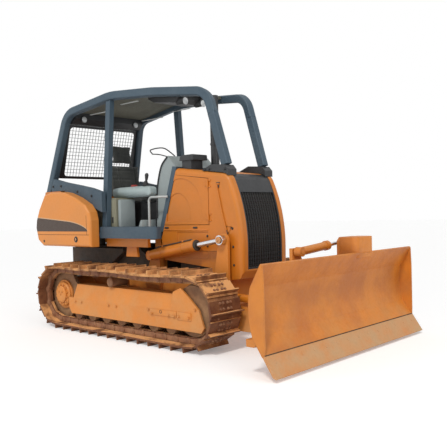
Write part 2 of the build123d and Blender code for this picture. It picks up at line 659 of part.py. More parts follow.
def hinge_pins():
    """Left door's hinge pins with their lugs on the nose."""
    pins = []
    for z in HINGE_Z:
        near, far = HINGE_HALF + SEAT, HINGE_HALF + 14
        pin = bar((HINGE_X, HINGE_Y, z - far), (HINGE_X, HINGE_Y, z + far), HINGE_PIN_RADIUS)
        for low, high in ((z - far, z - near), (z + near, z + far)):
            pin += bar((HINGE_X, HINGE_Y, low), (HINGE_X, HINGE_Y, high), HINGE_RADIUS)
            pin += slab(HINGE_X + DOOR_GAP / 2, HINGE_X + 35, HOOD_HALF_WIDTH - 3, HOOD_HALF_WIDTH + 7, low, high)
        pins.append(pin)
    return pins


def hood_side():
    """Left lower side panel, under the door."""
    x1 = NOSE_SEAM_X + DOOR_GAP / 2 - SEAT
    outline = [
        (rear_edge_x(HOOD_REAR_LOW[1]) + 30, HOOD_SILL_Z), (HOOD_REAR_LOW[0], HOOD_REAR_LOW[1]),
        (rear_edge_x(HOOD_BREAK_Z), HOOD_BREAK_Z), (x1, HOOD_BREAK_Z), (x1, HOOD_SILL_Z - 60),
    ]
    panel = side_plate(outline, HOOD_HALF_WIDTH - HOOD_WALL, HOOD_HALF_WIDTH)
    fx0, fx1, fz0, fz1 = PANEL_FIELD
    return panel - slab(fx0, fx1, HOOD_HALF_WIDTH - RECESS, HOOD_HALF_WIDTH + 5, fz0, fz1)


def nose():
    """Nose housing round the grille: flat sides, a bowed front and rounded corners."""
    x0, y0 = NOSE_SEAM_X + DOOR_GAP / 2, -HOOD_HALF_WIDTH
    start = (x0, hood_line(x0))
    high = Polyline(*[(x, y0, z) for x, z in (start, *NOSE_CROWN)])
    bow = ThreePointArc(*[(x, y0, z) for x, z in (NOSE_CROWN[-1], NOSE_MIDDLE, NOSE_FRONT)])
    low = Polyline(*[(x, y0, z) for x, z in (NOSE_FRONT, NOSE_FOOT, NOSE_CHIN, NOSE_LOW, (x0, 690), start)])
    body = extrude(make_face(high + bow + low), amount=2 * HOOD_HALF_WIDTH, dir=(0, 1, 0))
    rim = [e for e in body.edges() if abs(e.center().Y) > HOOD_HALF_WIDTH - 1 and e.center().Z > NOSE_FOOT[1]]
    body = fillet([e for e in rim if e.center().X > x0 + 10], HOOD_SHOULDER)
    crown_x, crown_z = NOSE_CROWN[0]
    hollow = [
        (x0 - 5, hood_line(x0) - HOOD_WALL), (crown_x - 10, crown_z - HOOD_WALL),
        (NOSE_CROWN[-1][0] - NOSE_WALL, NOSE_CROWN[-1][1] - NOSE_WALL),
        (NOSE_MIDDLE[0] - NOSE_WALL, NOSE_MIDDLE[1]), (NOSE_FRONT[0] - NOSE_WALL, NOSE_FRONT[1]),
        (NOSE_FOOT[0] - NOSE_WALL, NOSE_FLOOR_Z), (x0 - 5, NOSE_FLOOR_Z),
    ]
    body -= side_plate(hollow, -HOOD_HALF_WIDTH + HOOD_WALL, HOOD_HALF_WIDTH - HOOD_WALL)
    reach = NOSE_FRONT[0] + 100
    window = [
        (GRILLE_REAR_X, crown_z + 100), (reach, crown_z + 100), (reach, GRILLE_LOW_Z),
        (NOSE_FOOT[0] - 2 * NOSE_WALL, GRILLE_LOW_Z), (NOSE_FOOT[0] - 2 * NOSE_WALL, 1200), (GRILLE_REAR_X, 1500),
    ]
    body -= side_plate(window, -GRILLE_HALF_WIDTH, GRILLE_HALF_WIDTH)
    for pin in hinge_pins():
        body += pin + on_side(pin, RIGHT)
    return body


def nose_curve(inset, low_z, high_z):
    """Points (x, z) this far inside the nose's front, from low_z up to high_z."""
    (ax, az), (bx, bz), (cx, cz) = NOSE_CROWN[-1], NOSE_MIDDLE, NOSE_FRONT
    d = 2 * (ax * (bz - cz) + bx * (cz - az) + cx * (az - bz))
    a, b, c = ax * ax + az * az, bx * bx + bz * bz, cx * cx + cz * cz
    mx = (a * (bz - cz) + b * (cz - az) + c * (az - bz)) / d
    mz = (a * (cx - bx) + b * (ax - cx) + c * (bx - ax)) / d
    radius = math.hypot(ax - mx, az - mz) - inset
    foot_fall = (cx - NOSE_FOOT[0]) / (cz - NOSE_FOOT[1])
    points = [(cx - inset - (cz - z) * foot_fall, z) for z in (low_z, high_z) if z < cz]
    if high_z > cz:
        start = max(low_z, cz)
        for i in range(GRILLE_STEPS + 1):
            z = start + (high_z - start) * i / GRILLE_STEPS
            points.append((mx + math.sqrt(radius ** 2 - (z - mz) ** 2), z))
    return points


def grille():
    """Grille: a bowed frame with crossed bars and a blank panel that wraps over the nose."""
    half = GRILLE_HALF_WIDTH - SEAT
    low, panel, top = GRILLE_LOW_Z + SEAT, GRILLE_PANEL_Z, NOSE_CROWN[-1][1] - 8
    outer, inner = GRILLE_INSET, GRILLE_INSET + GRILLE_DEPTH

    def band(shallow, deep, z0, z1, y0, y1):
        return side_plate(nose_curve(shallow, z0, z1) + nose_curve(deep, z0, z1)[::-1], y0, y1)

    rear = GRILLE_REAR_X + SEAT
    (x0, z0), (x1, z1), (x2, z2) = NOSE_CROWN[:3]
    rear_z = z0 + (z1 - z0) * (rear - x0) / (x1 - x0) - outer
    wrap = [(x2 - outer, z2 - outer), (x1 - outer / 2, z1 - outer), (rear, rear_z)]
    under = [(x2 - outer - 10, z2 - inner), (x1 - outer / 2 - 4, z1 - inner), (rear, rear_z - GRILLE_DEPTH)]
    front, back = nose_curve(outer, panel, top), nose_curve(inner, panel, top)
    body = side_plate(front + wrap + under[::-1] + back[::-1], -half, half)
    for y0, y1 in ((-half, -half + GRILLE_RIM), (half - GRILLE_RIM, half)):
        body += band(outer, inner, low, panel, y0, y1)
    reach = half - GRILLE_RIM + 2
    body += band(outer + 2, inner - 2, low + 2, low + GRILLE_RIM, -reach, reach)
    pitch = 2 * (half - GRILLE_RIM) / (GRILLE_COLUMNS + 1)
    for i in range(GRILLE_COLUMNS):
        y = (i + 1) * pitch - half + GRILLE_RIM
        side = y - GRILLE_WIRE / 2
        body += band(outer + 4, outer + 10, low + GRILLE_RIM - 2, panel + 4, side, side + GRILLE_WIRE)
    step = (panel - low - GRILLE_RIM) / (GRILLE_ROWS + 1)
    for i in range(GRILLE_ROWS):
        z = low + GRILLE_RIM + (i + 1) * step
        x = nose_curve(outer + 14, z, z + 1)[-1][0]
        body += slab(x - 7, x, -reach, reach, z - GRILLE_WIRE / 2, z + GRILLE_WIRE / 2)
    return body


def radiator():
    """Radiator core behind the grille."""
    return slab(*RADIATOR_X, -290, 290, NOSE_FLOOR_Z + SEAT, RADIATOR_TOP_Z)


def exhaust_stack():
    """Exhaust pipe on the hood."""
    low = hood_line(STACK_X)
    pipe = bar((STACK_X, 0, low - 20), (STACK_X, 0, STACK_TOP_Z), STACK_RADIUS)
    pipe += bar((STACK_X, 0, low - 20), (STACK_X, 0, low + 60), STACK_RADIUS + 24)
    pipe -= side_plate(hood_skin(STACK_X - 100, STACK_X + 100), -100, 100)
    return pipe - Pos(STACK_X, 0, STACK_TOP_Z) * Cylinder(STACK_RADIUS - STACK_WALL, 240)


def work_light():
    """Black lamp housing with a wider lid on the hood's rear top, right of the exhaust."""
    x0, x1, top = LAMP_X[0], LAMP_X[1], LAMP_TOP_Z
    outline = [(x0, hood_line(x0) + SEAT), (x0, top - 40), (x1 - 50, top - 40), (x1 - 50, hood_line(x1 - 50) + SEAT)]
    lid = [(x0 - 20, top - 58), (x0 - 12, top - 18), (x0 + 30, top), (x1 - 8, top), (x1, top - 10), (x1, top - 58)]
    box = side_plate(outline, LAMP_Y[0] + 20, LAMP_Y[1] - 20)
    return box + side_plate(lid, *LAMP_Y)


# ---- operator's station ------------------------------------------------------------------------------------
def platform():
    """Floor plate with the narrow side sills."""
    low, wide = FLOOR_TOP_Z - FLOOR_THICK, POD_INNER_Y - SEAT
    (x0, x1), (y0, y1), (z0, z1) = SILL_X, SILL_Y, SILL_Z
    floor = slab(FLOOR_REAR_X, x0, -wide, wide, low, FLOOR_TOP_Z)
    floor += slab(x0 - 5, FLOOR_FRONT_X, -y0 - 5, y0 + 5, low, FLOOR_TOP_Z)
    sill = slab(x0, x1, y0, y1, z0, z1)
    front = [e for e in sill.edges().filter_by(Axis.Z) if e.center().X > x1 - 1 and e.center().Y > y1 - 1]
    sill = fillet(front, SILL_CORNER)
    return floor + sill + on_side(sill, RIGHT)


def side_rail():
    """Left side frame of the platform, with the ear of its mount."""
    (x0, x1), (y0, y1) = SIDE_RAIL_X, SIDE_RAIL_Y
    top = FLOOR_TOP_Z - FLOOR_THICK - SEAT
    low = SIDE_RAIL_LOW_Z
    rail = slab(x0, x1, y0, y1, low, top)
    ear = side_plate([(x0 + 320, low + 5), (x0 + 300, low - 110), (x0 + 500, low - 110), (x0 + 480, low + 5)], y0 - 26, y0 + 4)
    return rail + ear + slab(x0 + 320, x0 + 480, y0 - 26, y0 + 4, low, top)


def fender_pod():
    """Left fender pod over the track: a closed tank with a crowned top."""
    body = side_plate(POD_OUTLINE, POD_INNER_Y, POD_OUTER_Y)
    outer = [e for e in body.edges() if abs(e.center().Y - POD_OUTER_Y) < 1]
    return fillet(outer, POD_CORNER)


def rear_tank():
    """Fuel tank across the rear, between the pods."""
    outline = [
        (-1625, 1500), (-1635, 1060), (-1545, 950), (-1170, 950), (-1170, 1540), (-1260, TANK_TOP_Z), (-1590, TANK_TOP_Z),
    ]
    body = side_plate(outline, -POD_INNER_Y + SEAT, POD_INNER_Y - SEAT)
    return body


# ---- canopy ------------------------------------------------------------------------------------------------
def box_tube(points, bends):
    """Rounded box tube along a bent centre line."""
    route = FilletPolyline(*points, radius=bends) if bends else Line(*points)
    start = Vector(*points[1]) - Vector(*points[0])
    place = Plane(origin=points[0], x_dir=(0, 1, 0), z_dir=start)
    return sweep(place * RectangleRounded(TUBE_WIDTH, TUBE_DEPTH, TUBE_CORNER), path=route)


def between(start, end, share):
    """Point at this share of the way from start to end."""
    return tuple(a + (b - a) * share for a, b in zip(start, end))


POST_TOP = between(POST_FOOT, RAIL_REAR, POST_SHARE)
RAIL_END = between(RAIL_FRONT, SWEEP_FOOT, SWEEP_SHARE)


def rail_at(x):
    """Centre (y, z) of the roof rail between its rear and front bends."""
    corners = (RAIL_REAR, RAIL_CROWN, RAIL_BROW, RAIL_FRONT)
    for start, end in zip(corners, corners[1:]):
        if x <= end[0]:
            break
    return between(start, end, (x - start[0]) / (end[0] - start[0]))[1:]


def rear_post():
    """Left rear post of the canopy, standing on the rear tank."""
    post = box_tube((POST_FOOT, between(POST_FOOT, RAIL_REAR, POST_SHARE - 0.0005)), None)
    return post - slab(-1700, -1300, 500, 800, 1400, TANK_TOP_Z + SEAT)


def roof_rail():
    """Left roof rail: from the rear post over the roof to the bend in front."""
    points = (POST_TOP, RAIL_REAR, RAIL_CROWN, RAIL_BROW, RAIL_FRONT, RAIL_END)
    return box_tube(points, (RAIL_REAR_BEND, RAIL_CROWN_BEND, RAIL_CROWN_BEND, RAIL_FRONT_BEND))


def foot_outline(rise):
    """Outline points (x, z) of the leg's foot on the hood, its top moved up by rise."""
    line = [(x, z + SEAT) for x, z in NOSE_CROWN[2::-1]]
    line = [(FOOT_TOP[-1][0], line[0][1])] + line + [(FOOT_REAR_X, hood_line(FOOT_REAR_X) + SEAT)]
    return [(x, z + rise) for x, z in FOOT_TOP] + line


def front_sweep():
    """Left front leg of the canopy, from the bend down to its foot."""
    tube = box_tube((between(RAIL_FRONT, SWEEP_FOOT, SWEEP_SHARE + 0.0005), SWEEP_FOOT), None)
    (x0, z0), (x1, z1) = FOOT_TOP[:2]
    fall = (z1 - z0) / (x1 - x0)
    under = [(x0 - 200, z0 - 200 * fall + SEAT), (x1 + 200, z1 + 200 * fall + SEAT), (x1 + 200, 1500), (x0 - 200, 1500)]
    return tube - side_plate(under, 0, HOOD_HALF_WIDTH + 200)


def canopy_foot():
    """Left wedge-shaped foot that bolts the front leg to the hood."""
    half = TUBE_WIDTH / 2 + FOOT_SIDE
    return side_plate(foot_outline(0), SWEEP_FOOT[1] - half, SWEEP_FOOT[1] + half)


def mid_post():
    """Left middle post of the canopy, from the sill to the roof rail."""
    half, deep = MID_POST_WIDTH / 2, MID_POST_DEPTH / 2
    low, (top_y, high) = SILL_Z[1] + SEAT, rail_at(MID_POST_X)
    outline = [(MID_POST_LOW_Y - half, low), (MID_POST_LOW_Y + half, low), (top_y + half, high), (top_y - half, high)]
    post = front_plate(outline, MID_POST_X - deep, MID_POST_X + deep)
    under = []
    for x in (MID_POST_X - deep - 5, MID_POST_X + deep + 5):
        under.append((x, rail_at(x)[1] - TUBE_DEPTH / 2 - POST_CROWN_PLAY))
    under += [(under[1][0], high + 100), (under[0][0], high + 100)]
    return post - side_plate(under, 0, 900)


def roof_under(x):
    """Height of the roof sheet's underside at x."""
    return rail_at(x)[1] + ROOF_RISE - ROOF_THICK


def canopy_roof():
    """Roof sheet between the rails, narrower towards the front."""
    inside = TUBE_WIDTH / 2 + 5.9
    places = (ROOF_REAR_X, RAIL_CROWN[0], RAIL_BROW[0], ROOF_FRONT_X)
    outline = [(x, roof_under(x) + ROOF_THICK) for x in places] + [(x, roof_under(x)) for x in reversed(places)]
    plan = [(x, rail_at(x)[0] - inside) for x in places] + [(x, inside - rail_at(x)[0]) for x in reversed(places)]
    return side_plate(outline, -700, 700) & plan_plate(plan, 2000, 3000)


def rear_header():
    """Box under the roof's rear edge, down to the guard."""
    (x0, x1), low = HEADER_X, HEADER_Z
    outline = [(x0, low), (x0 + 40, roof_under(x1) - 50), (x1 - 50, roof_under(x1 - 30) - SEAT - 12)]
    outline += [(x1 - 30, roof_under(x1 - 30) - SEAT - 12), (x1 - 4, roof_under(x1 - 4) - SEAT)]
    outline += [(x1 + 40, roof_under(x1 + 40) - SEAT), (x1 + 40, low + 60), (x1 - 30, low)]
    half_low, half_high, high = POST_FOOT[1] - 123, RAIL_REAR[1] - 51, RAIL_REAR[2] + 60
    shape = [(-half_low, low), (half_low, low), (half_high, low + 60), (half_high, high), (-half_high, high), (-half_high, low + 60)]
    return side_plate(outline, -600, 600) & front_plate(shape, x0 - 10, x1 + 60)


def roof_unit():
    """Black heater and lamp unit under the front of the roof."""
    (x0, x1), (y0, y1) = ROOF_UNIT_X, ROOF_UNIT_Y
    places = (x0, RAIL_BROW[0], x1)
    top = [(x, roof_under(x) - SEAT) for x in places]
    low = [(x1, top[-1][1] - ROOF_UNIT_DEPTH * 0.55), (x1 - 60, top[-1][1] - ROOF_UNIT_DEPTH)]
    low += [(x0 + 90, top[0][1] - ROOF_UNIT_DEPTH), (x0, top[0][1] - ROOF_UNIT_DEPTH * 0.5)]
    unit = side_plate(top + low, y0, y1)
    for y in (y0 + 70, y1 - 70):
        z = top[-1][1] - 66
        unit += bar((x1 - 80, y, z), (x1 + 36, y, z), 46)
    return unit


def rear_guard():
    """Wire guard behind the seat, between the rear posts: upright wires in front of level ones."""
    low, high = (between(POST_FOOT, RAIL_REAR, (z - POST_FOOT[2]) / (RAIL_REAR[2] - POST_FOOT[2])) for z in GUARD_Z)
    inside = TUBE_WIDTH / 2 + GUARD_SEAT
    low_half, high_half = low[1] - inside, high[1] - inside
    run = math.hypot(high[0] - low[0], high[2] - low[2])
    lean = Plane(origin=(low[0] + 10, 0, low[2]), x_dir=(0, 1, 0), z_dir=(high[2] - low[2], 0, low[0] - high[0]))
    rim, wire, half = GUARD_RIM, GUARD_WIRE, high_half - GUARD_RIM
    sheet = make_face(Polyline((-low_half, 0), (low_half, 0), (high_half, run), (-high_half, run), close=True))
    window = Pos(0, run / 2) * RectangleRounded(2 * half, run - 2 * rim, GUARD_CORNER)
    body = extrude(lean * (sheet - window), amount=-20)
    columns, rows = round(2 * half / GUARD_PITCH), round((run - 2 * rim) / GUARD_PITCH)
    low_end = (Align.CENTER, Align.MIN, Align.MIN)
    for i in range(1, columns):
        place = Pos(i * 2 * half / columns - half, rim - 2, -10)
        body += lean * (place * Box(wire, run - 2 * rim + 4, wire, align=low_end))
    for i in range(1, rows):
        place = Pos(0, rim + i * (run - 2 * rim) / rows - wire / 2, -10 - wire - 0.5)
        body += lean * (place * Box(2 * half + 4, wire, wire, align=low_end))
    return body


def side_panel():
    """Left slate panel from the rear post past the middle post, above the pod."""
    front = MID_POST_X + MID_POST_DEPTH / 2
    outline = [(-1452, 1640), (-1400, 1752), (-1160, 1702), (-860, 1652), (-640, 1612), (front, 1556), (front, 1330)]
    outline += [(-700, 1430), (-1000, 1500), (-1160, 1510), (-1160, TANK_TOP_Z + SEAT), (-1445, TANK_TOP_Z + SEAT)]
    return side_plate(outline, MID_POST_LOW_Y + MID_POST_WIDTH / 2 + SEAT, POD_INNER_Y - SEAT)


def cowl_frame():
    """Slate bulkhead along the hood's slanted rear edge."""
    thick = 62
    z0, z1 = FLOOR_TOP_Z + SEAT, 1790
    outline = [(rear_edge_x(z0) - SEAT, z0), (rear_edge_x(z1) - SEAT, z1), (rear_edge_x(z1) - thick, z1 + 10)]
    outline += [(rear_edge_x(z0) - thick, z0)]
    return side_plate(outline, -HOOD_HALF_WIDTH, HOOD_HALF_WIDTH)


def dash():
    """Instrument cowl behind the hood."""
    back = 62 + SEAT
    outline = [(rear_edge_x(1790) - back, 1800), (247, 1925), (138, 1819), (73, 1658), (40, FLOOR_TOP_Z + SEAT)]
    outline += [(rear_edge_x(FLOOR_TOP_Z) - back, FLOOR_TOP_Z + SEAT)]
    return side_plate(outline, -310, 310)


def seat_base():
    """Seat box on the floor."""
    return slab(-820, -330, -220, 220, FLOOR_TOP_Z + SEAT, 1440)


def seat_cushion():
    """Seat cushion."""
    return slab(-800, -290, -240, 240, 1440 + SEAT, 1580)


def seat_back():
    """Seat back."""
    outline = [(-800 - SEAT, 1500), (-840, 1600), (-896, SEAT_SPLIT_Z), (-984, SEAT_SPLIT_Z), (-950, 1500)]
    return side_plate(outline, -230, 230)


def seat_head():
    """Narrower head part on the seat's back."""
    z0, z1 = SEAT_SPLIT_Z + SEAT, SEAT_SPLIT_Z + 240
    return side_plate([(-902, z0), (-934, z1), (-1004, z1), (-982, z0)], -145, 145)


def console():
    """Left console beside the seat."""
    return slab(-790, -360, 300, 560, FLOOR_TOP_Z + SEAT, CONSOLE_TOP_Z)


def armrest():
    """Left armrest pad on its console, reaching forward."""
    pad = slab(-600, 90, 330, 440, CONSOLE_TOP_Z + SEAT, ARMREST_TOP_Z)
    ends = [e for e in pad.edges().filter_by(Axis.Y)]
    return fillet(ends, 40)


def levers():
    """Control levers on the armrests."""
    foot, knob = (-40, 385, ARMREST_TOP_Z + SEAT), (-20, 385, ARMREST_TOP_Z + 120)
    boot = bar(foot, (foot[0], foot[1], foot[2] + 36), 24)
    return both_sides(boot + bar((foot[0], foot[1], foot[2] + 20), knob, 13))


def handles():
    """Grab handles from the floor up and forward to the cowl frame."""
    path = [(70, 440, FLOOR_TOP_Z + SEAT), (70, 440, 1480), (210, 440, 1480), (300, HOOD_HALF_WIDTH + 12, 1480)]
    route = FilletPolyline(*path, radius=45)
    ring = Plane(origin=path[0], z_dir=(0, 0, 1)) * RegularPolygon(13, 8)
    return both_sides(sweep(ring, path=route))


# ---- C-frame -----------------------------------------------------------------------------------------------
def c_arm():
    """Left arm of the C-frame with the tower for the lift cylinder."""
    x0, z0 = LIFT_PIVOT
    end = CROSS_REAR_X - SEAT
    outline = [
        (x0, z0 + 78), (900, CROSS_HIGH_Z + 5), (end, CROSS_HIGH_Z), (end, CROSS_LOW_Z), (1150, CROSS_LOW_Z), (x0, z0 - 78),
    ]
    y0, y1 = ARM_INNER_Y, ARM_INNER_Y + ARM_THICK
    arm = side_plate(outline, y0, y1) + across(x0, z0, 78, y0, y1)
    tower = link_plate(TOWER_EYE, (TOWER_FOOT_X, CROSS_HIGH_Z - 40), 62, 120)
    arm += side_plate(tower, y0, y0 + TOWER_THICK)
    arm -= across(x0, z0, LIFT_PIN_RADIUS + PIN_PLAY, y0 - 5, y1 + 5)
    stud = bar((ANGLE_BASE_X, y0 + ARM_THICK / 2, CROSS_HIGH_Z - 4), (ANGLE_BASE_X, y0 + ARM_THICK / 2, ANGLE_Z + ANGLE_EYE_HALF + 8), 22)
    pad = bar((ANGLE_BASE_X, y0 + ARM_THICK / 2, CROSS_HIGH_Z - 4),
              (ANGLE_BASE_X, y0 + ARM_THICK / 2, ANGLE_Z - ANGLE_EYE_HALF - SEAT), 36)
    return arm + stud + pad


def c_cross():
    """Front cross member of the C-frame with the blade's pivot ears."""
    half = ARM_INNER_Y + ARM_THICK
    body = slab(CROSS_REAR_X, CROSS_FRONT_X, -half, half, CROSS_LOW_Z, CROSS_HIGH_Z)
    for z0, z1 in ((CROSS_LOW_Z + 20, CROSS_LOW_Z + 65), (CROSS_HIGH_Z - 65, CROSS_HIGH_Z - 20)):
        ear = slab(CROSS_FRONT_X - 5, ANGLE_PIVOT_X, -85, 85, z0, z1)
        ear += bar((ANGLE_PIVOT_X, 0, z0), (ANGLE_PIVOT_X, 0, z1), 85)
        body += ear
    body += bar((ANGLE_PIVOT_X, 0, CROSS_LOW_Z + 10), (ANGLE_PIVOT_X, 0, CROSS_HIGH_Z - 10), ANGLE_PIN_RADIUS)
    return body


def blade_yoke():
    """Yoke that angles with the blade: knuckle, cross beam, tilt pin and tilt mast."""
    z0, z1 = CROSS_LOW_Z + 65 + PIN_PLAY, CROSS_HIGH_Z - 65 - PIN_PLAY
    knuckle = bar((ANGLE_PIVOT_X, 0, z0), (ANGLE_PIVOT_X, 0, z1), 80)
    knuckle += slab(ANGLE_PIVOT_X, YOKE_REAR_X + 5, -70, 70, z0, z1)
    knuckle -= bar((ANGLE_PIVOT_X, 0, z0 - 5), (ANGLE_PIVOT_X, 0, z1 + 5), ANGLE_PIN_RADIUS + PIN_PLAY)
    beam = slab(YOKE_REAR_X, YOKE_FRONT_X, -YOKE_HALF_WIDTH, YOKE_HALF_WIDTH, *YOKE_Z)
    ear_z = ANGLE_Z - 36
    for side in (RIGHT, LEFT):
        ear = slab(ANGLE_EYE[0] - 40, YOKE_FRONT_X, ANGLE_EYE[1] - 50, ANGLE_EYE[1] + 50, 400, ear_z)
        beam += on_side(ear, side)
    mast = front_plate([(-120, 420), (-60, 420), (TILT_BASE[0] + 45, TILT_BASE[1] + 30),
                        (TILT_BASE[0] - 45, TILT_BASE[1] + 30), (TILT_BASE[0] - 45, TILT_BASE[1] - 60),
                        (-420, 430), (-300, 420)], TILT_X - 82, TILT_X - 48)
    foot = slab(TILT_X - 82, YOKE_REAR_X + 5, -400, -60, 400, 436)
    pin = bar((TILT_X - 50, TILT_BASE[0], TILT_BASE[1]), (TILT_X + 36, TILT_BASE[0], TILT_BASE[1]), 22)
    trunnion = bar((YOKE_FRONT_X - 5, 0, TILT_AXIS_Z), (BLADE_BACK_X + 36, 0, TILT_AXIS_Z), TILT_PIN_RADIUS)
    return knuckle + beam + mast + foot + pin + trunnion


# ---- blade ----------------------------------------------------------------------------------------------------
def moldboard():
    """Blade: curved plate with a top lip, end plates, back ribs and brackets."""
    half = BLADE_WIDTH / 2
    shift = BLADE_PLATE
    front = (
        Line((*BLADE_TOP[:1], -half, BLADE_TOP[1]), (BLADE_CREASE[0], -half, BLADE_CREASE[1]))
        + ThreePointArc((BLADE_CREASE[0], -half, BLADE_CREASE[1]), (BLADE_DEEP[0], -half, BLADE_DEEP[1]),
                        (BLADE_LOW[0], -half, BLADE_LOW[1]))
        + Line((BLADE_LOW[0], -half, BLADE_LOW[1]), (BLADE_EDGE[0], -half, BLADE_EDGE[1]))
        + Line((BLADE_EDGE[0], -half, BLADE_EDGE[1]), (BLADE_EDGE[0] - 22, -half, BLADE_EDGE[1] - 14))
        + Line((BLADE_EDGE[0] - 22, -half, BLADE_EDGE[1] - 14), (BLADE_LOW[0] - 20, -half, BLADE_LOW[1] - 12))
        + ThreePointArc((BLADE_LOW[0] - 20, -half, BLADE_LOW[1] - 12), (BLADE_DEEP[0] - shift, -half, BLADE_DEEP[1]),
                        (BLADE_CREASE[0] - shift, -half, BLADE_CREASE[1] + 6))
        + Line((BLADE_CREASE[0] - shift, -half, BLADE_CREASE[1] + 6), (BLADE_TOP[0] - 17, -half, BLADE_TOP[1] + 10))
        + Line((BLADE_TOP[0] - 17, -half, BLADE_TOP[1] + 10), (BLADE_TOP[0], -half, BLADE_TOP[1]))
    )
    body = extrude(make_face(front), amount=BLADE_WIDTH, dir=(0, 1, 0))
    end = [BLADE_TOP, (BLADE_TOP[0] + 7, 700), (BLADE_TOP[0] + 7, 250), BLADE_EDGE, (BLADE_LOW[0] - 20, BLADE_LOW[1] - 12)]
    end += [(BLADE_DEEP[0] - shift, BLADE_DEEP[1]), (BLADE_CREASE[0] - shift, 706), (BLADE_TOP[0] - 17, BLADE_TOP[1] + 10)]
    for side in (RIGHT, LEFT):
        body += on_side(side_plate(end, half - 16, half), side)
    rear, deep = BLADE_BACK_X, BLADE_DEEP[0] - 12
    back = [(rear, 250), (rear, 640), (BLADE_CREASE[0] - 14, 702), (deep, BLADE_DEEP[1])]
    back += [(BLADE_LOW[0] - 14, BLADE_LOW[1] + 3), (BLADE_LOW[0] - 46, 250)]
    for y in BLADE_RIB_Y:
        for middle in (-y, y):
            body += side_plate(back, middle - BLADE_RIB_THICK / 2, middle + BLADE_RIB_THICK / 2)
    beam = [(rear, 240), (rear, 300), (deep, 300), (BLADE_LOW[0] - 14, BLADE_LOW[1]), (BLADE_LOW[0] + 19, 280), (rear + 78, 240)]
    body += side_plate(beam, -half + 20, half - 20)
    near = TILT_X + TILT_EYE_HALF + 8
    (y0, y1), top = BRACKET_Y, BRACKET_TOP_Z
    plate = [(y0, 640), (y0, top - 35), (y0 + 40, top), (y1 - 40, top), (y1, top - 35), (y1, 640)]
    rib = [(near + 24, 640), (near + 24, top - 35), (rear + 28, top - 45), (BLADE_TOP[0] - 50, 850), (BLADE_CREASE[0] - 16, 700)]
    body += front_plate(plate, near, near + 32) + side_plate(rib, y0 + 10, y0 + 40) + side_plate(rib, y1 - 40, y1 - 10)
    body += bar((rear, 0, TILT_AXIS_Z), (deep + 8, 0, TILT_AXIS_Z), 105)
    return body - bar((rear - 12, 0, TILT_AXIS_Z), (rear + 40, 0, TILT_AXIS_Z), TILT_PIN_RADIUS + PIN_PLAY)


def cutting_edge():
    """Cutting edge bolted to the foot of the blade."""
    dx, dz = BLADE_TIP_X - BLADE_EDGE[0], BLADE_TIP_Z - BLADE_EDGE[1]
    run = math.hypot(dx, dz)
    dx, dz = dx / run, dz / run
    nx, nz = -dz, dx
    x0, z0 = BLADE_EDGE[0] + dx * SEAT, BLADE_EDGE[1] + dz * SEAT
    tip = (BLADE_TIP_X, BLADE_TIP_Z)
    outline = [(x0, z0), tip, (tip[0] - nx * EDGE_PLATE - dx * 26, tip[1] - nz * EDGE_PLATE - dz * 26)]
    outline += [(x0 - nx * EDGE_PLATE, z0 - nz * EDGE_PLATE)]
    return side_plate(outline, -BLADE_WIDTH / 2, BLADE_WIDTH / 2)


# ---- cylinders --------------------------------------------------------------------------------------------------
def cylinder_barrel(base, eye, pin_axis, eye_radius, eye_half, bore, radius, length, rod_radius):
    """Barrel of a hydraulic cylinder from its base eye towards the rod's eye."""
    start, stop = Vector(*base), Vector(*eye)
    way = (stop - start).normalized()
    across_pin = Vector(*pin_axis)
    front = start + way * length
    body = bar(start + way * (eye_radius * 0.7), front, radius)
    body += bar(front - way * 46, front, radius + 7)
    body += bar(start - across_pin * eye_half, start + across_pin * eye_half, eye_radius)
    body -= bar(start - across_pin * (eye_half + 5), start + across_pin * (eye_half + 5), bore)
    body -= bar(start + way * (eye_radius + 12), front + way * 5, rod_radius + PIN_PLAY)
    return body


def cylinder_rod(base, eye, pin_axis, eye_radius, eye_half, radius, barrel_length, inside, pin_radius):
    """Rod with its eye and the pin that it carries."""
    start, stop = Vector(*base), Vector(*eye)
    way = (stop - start).normalized()
    across_pin = Vector(*pin_axis)
    body = bar(start + way * inside, stop - way * (eye_radius * 0.6), radius)
    body += bar(stop - across_pin * eye_half, stop + across_pin * eye_half, eye_radius)
    return body + bar(stop - across_pin * (eye_half + 6), stop + across_pin * (eye_half + 6), pin_radius)


def lift_cylinder():
    """Left lift cylinder: barrel on the hull's stud, rod beside the tower."""
    base, eye = (LIFT_BASE[0], LIFT_Y, LIFT_BASE[1]), (TOWER_EYE[0], LIFT_Y, TOWER_EYE[1])
    barrel = cylinder_barrel(base, eye, (0, 1, 0), 52, 30, 30 + PIN_PLAY, LIFT_BARREL_RADIUS, LIFT_BARREL_LENGTH, LIFT_ROD_RADIUS)
    rod = cylinder_rod(base, eye, (0, 1, 0), 48, 26, LIFT_ROD_RADIUS, LIFT_BARREL_LENGTH, LIFT_ROD_REACH, 24)
    return barrel, rod


def angle_cylinder():
    """Left angle cylinder: barrel on the arm's stud, rod on the yoke's ear."""
    base = (ANGLE_BASE_X, ARM_INNER_Y + ARM_THICK / 2, ANGLE_Z)
    eye = (ANGLE_EYE[0], ANGLE_EYE[1], ANGLE_Z)
    barrel = cylinder_barrel(base, eye, (0, 0, 1), 38, ANGLE_EYE_HALF, 22 + PIN_PLAY, ANGLE_BARREL_RADIUS, ANGLE_BARREL_LENGTH, ANGLE_ROD_RADIUS)
    rod = cylinder_rod(base, eye, (0, 0, 1), 36, 28, ANGLE_ROD_RADIUS, ANGLE_BARREL_LENGTH, ANGLE_ROD_REACH, 18)
    return barrel, rod


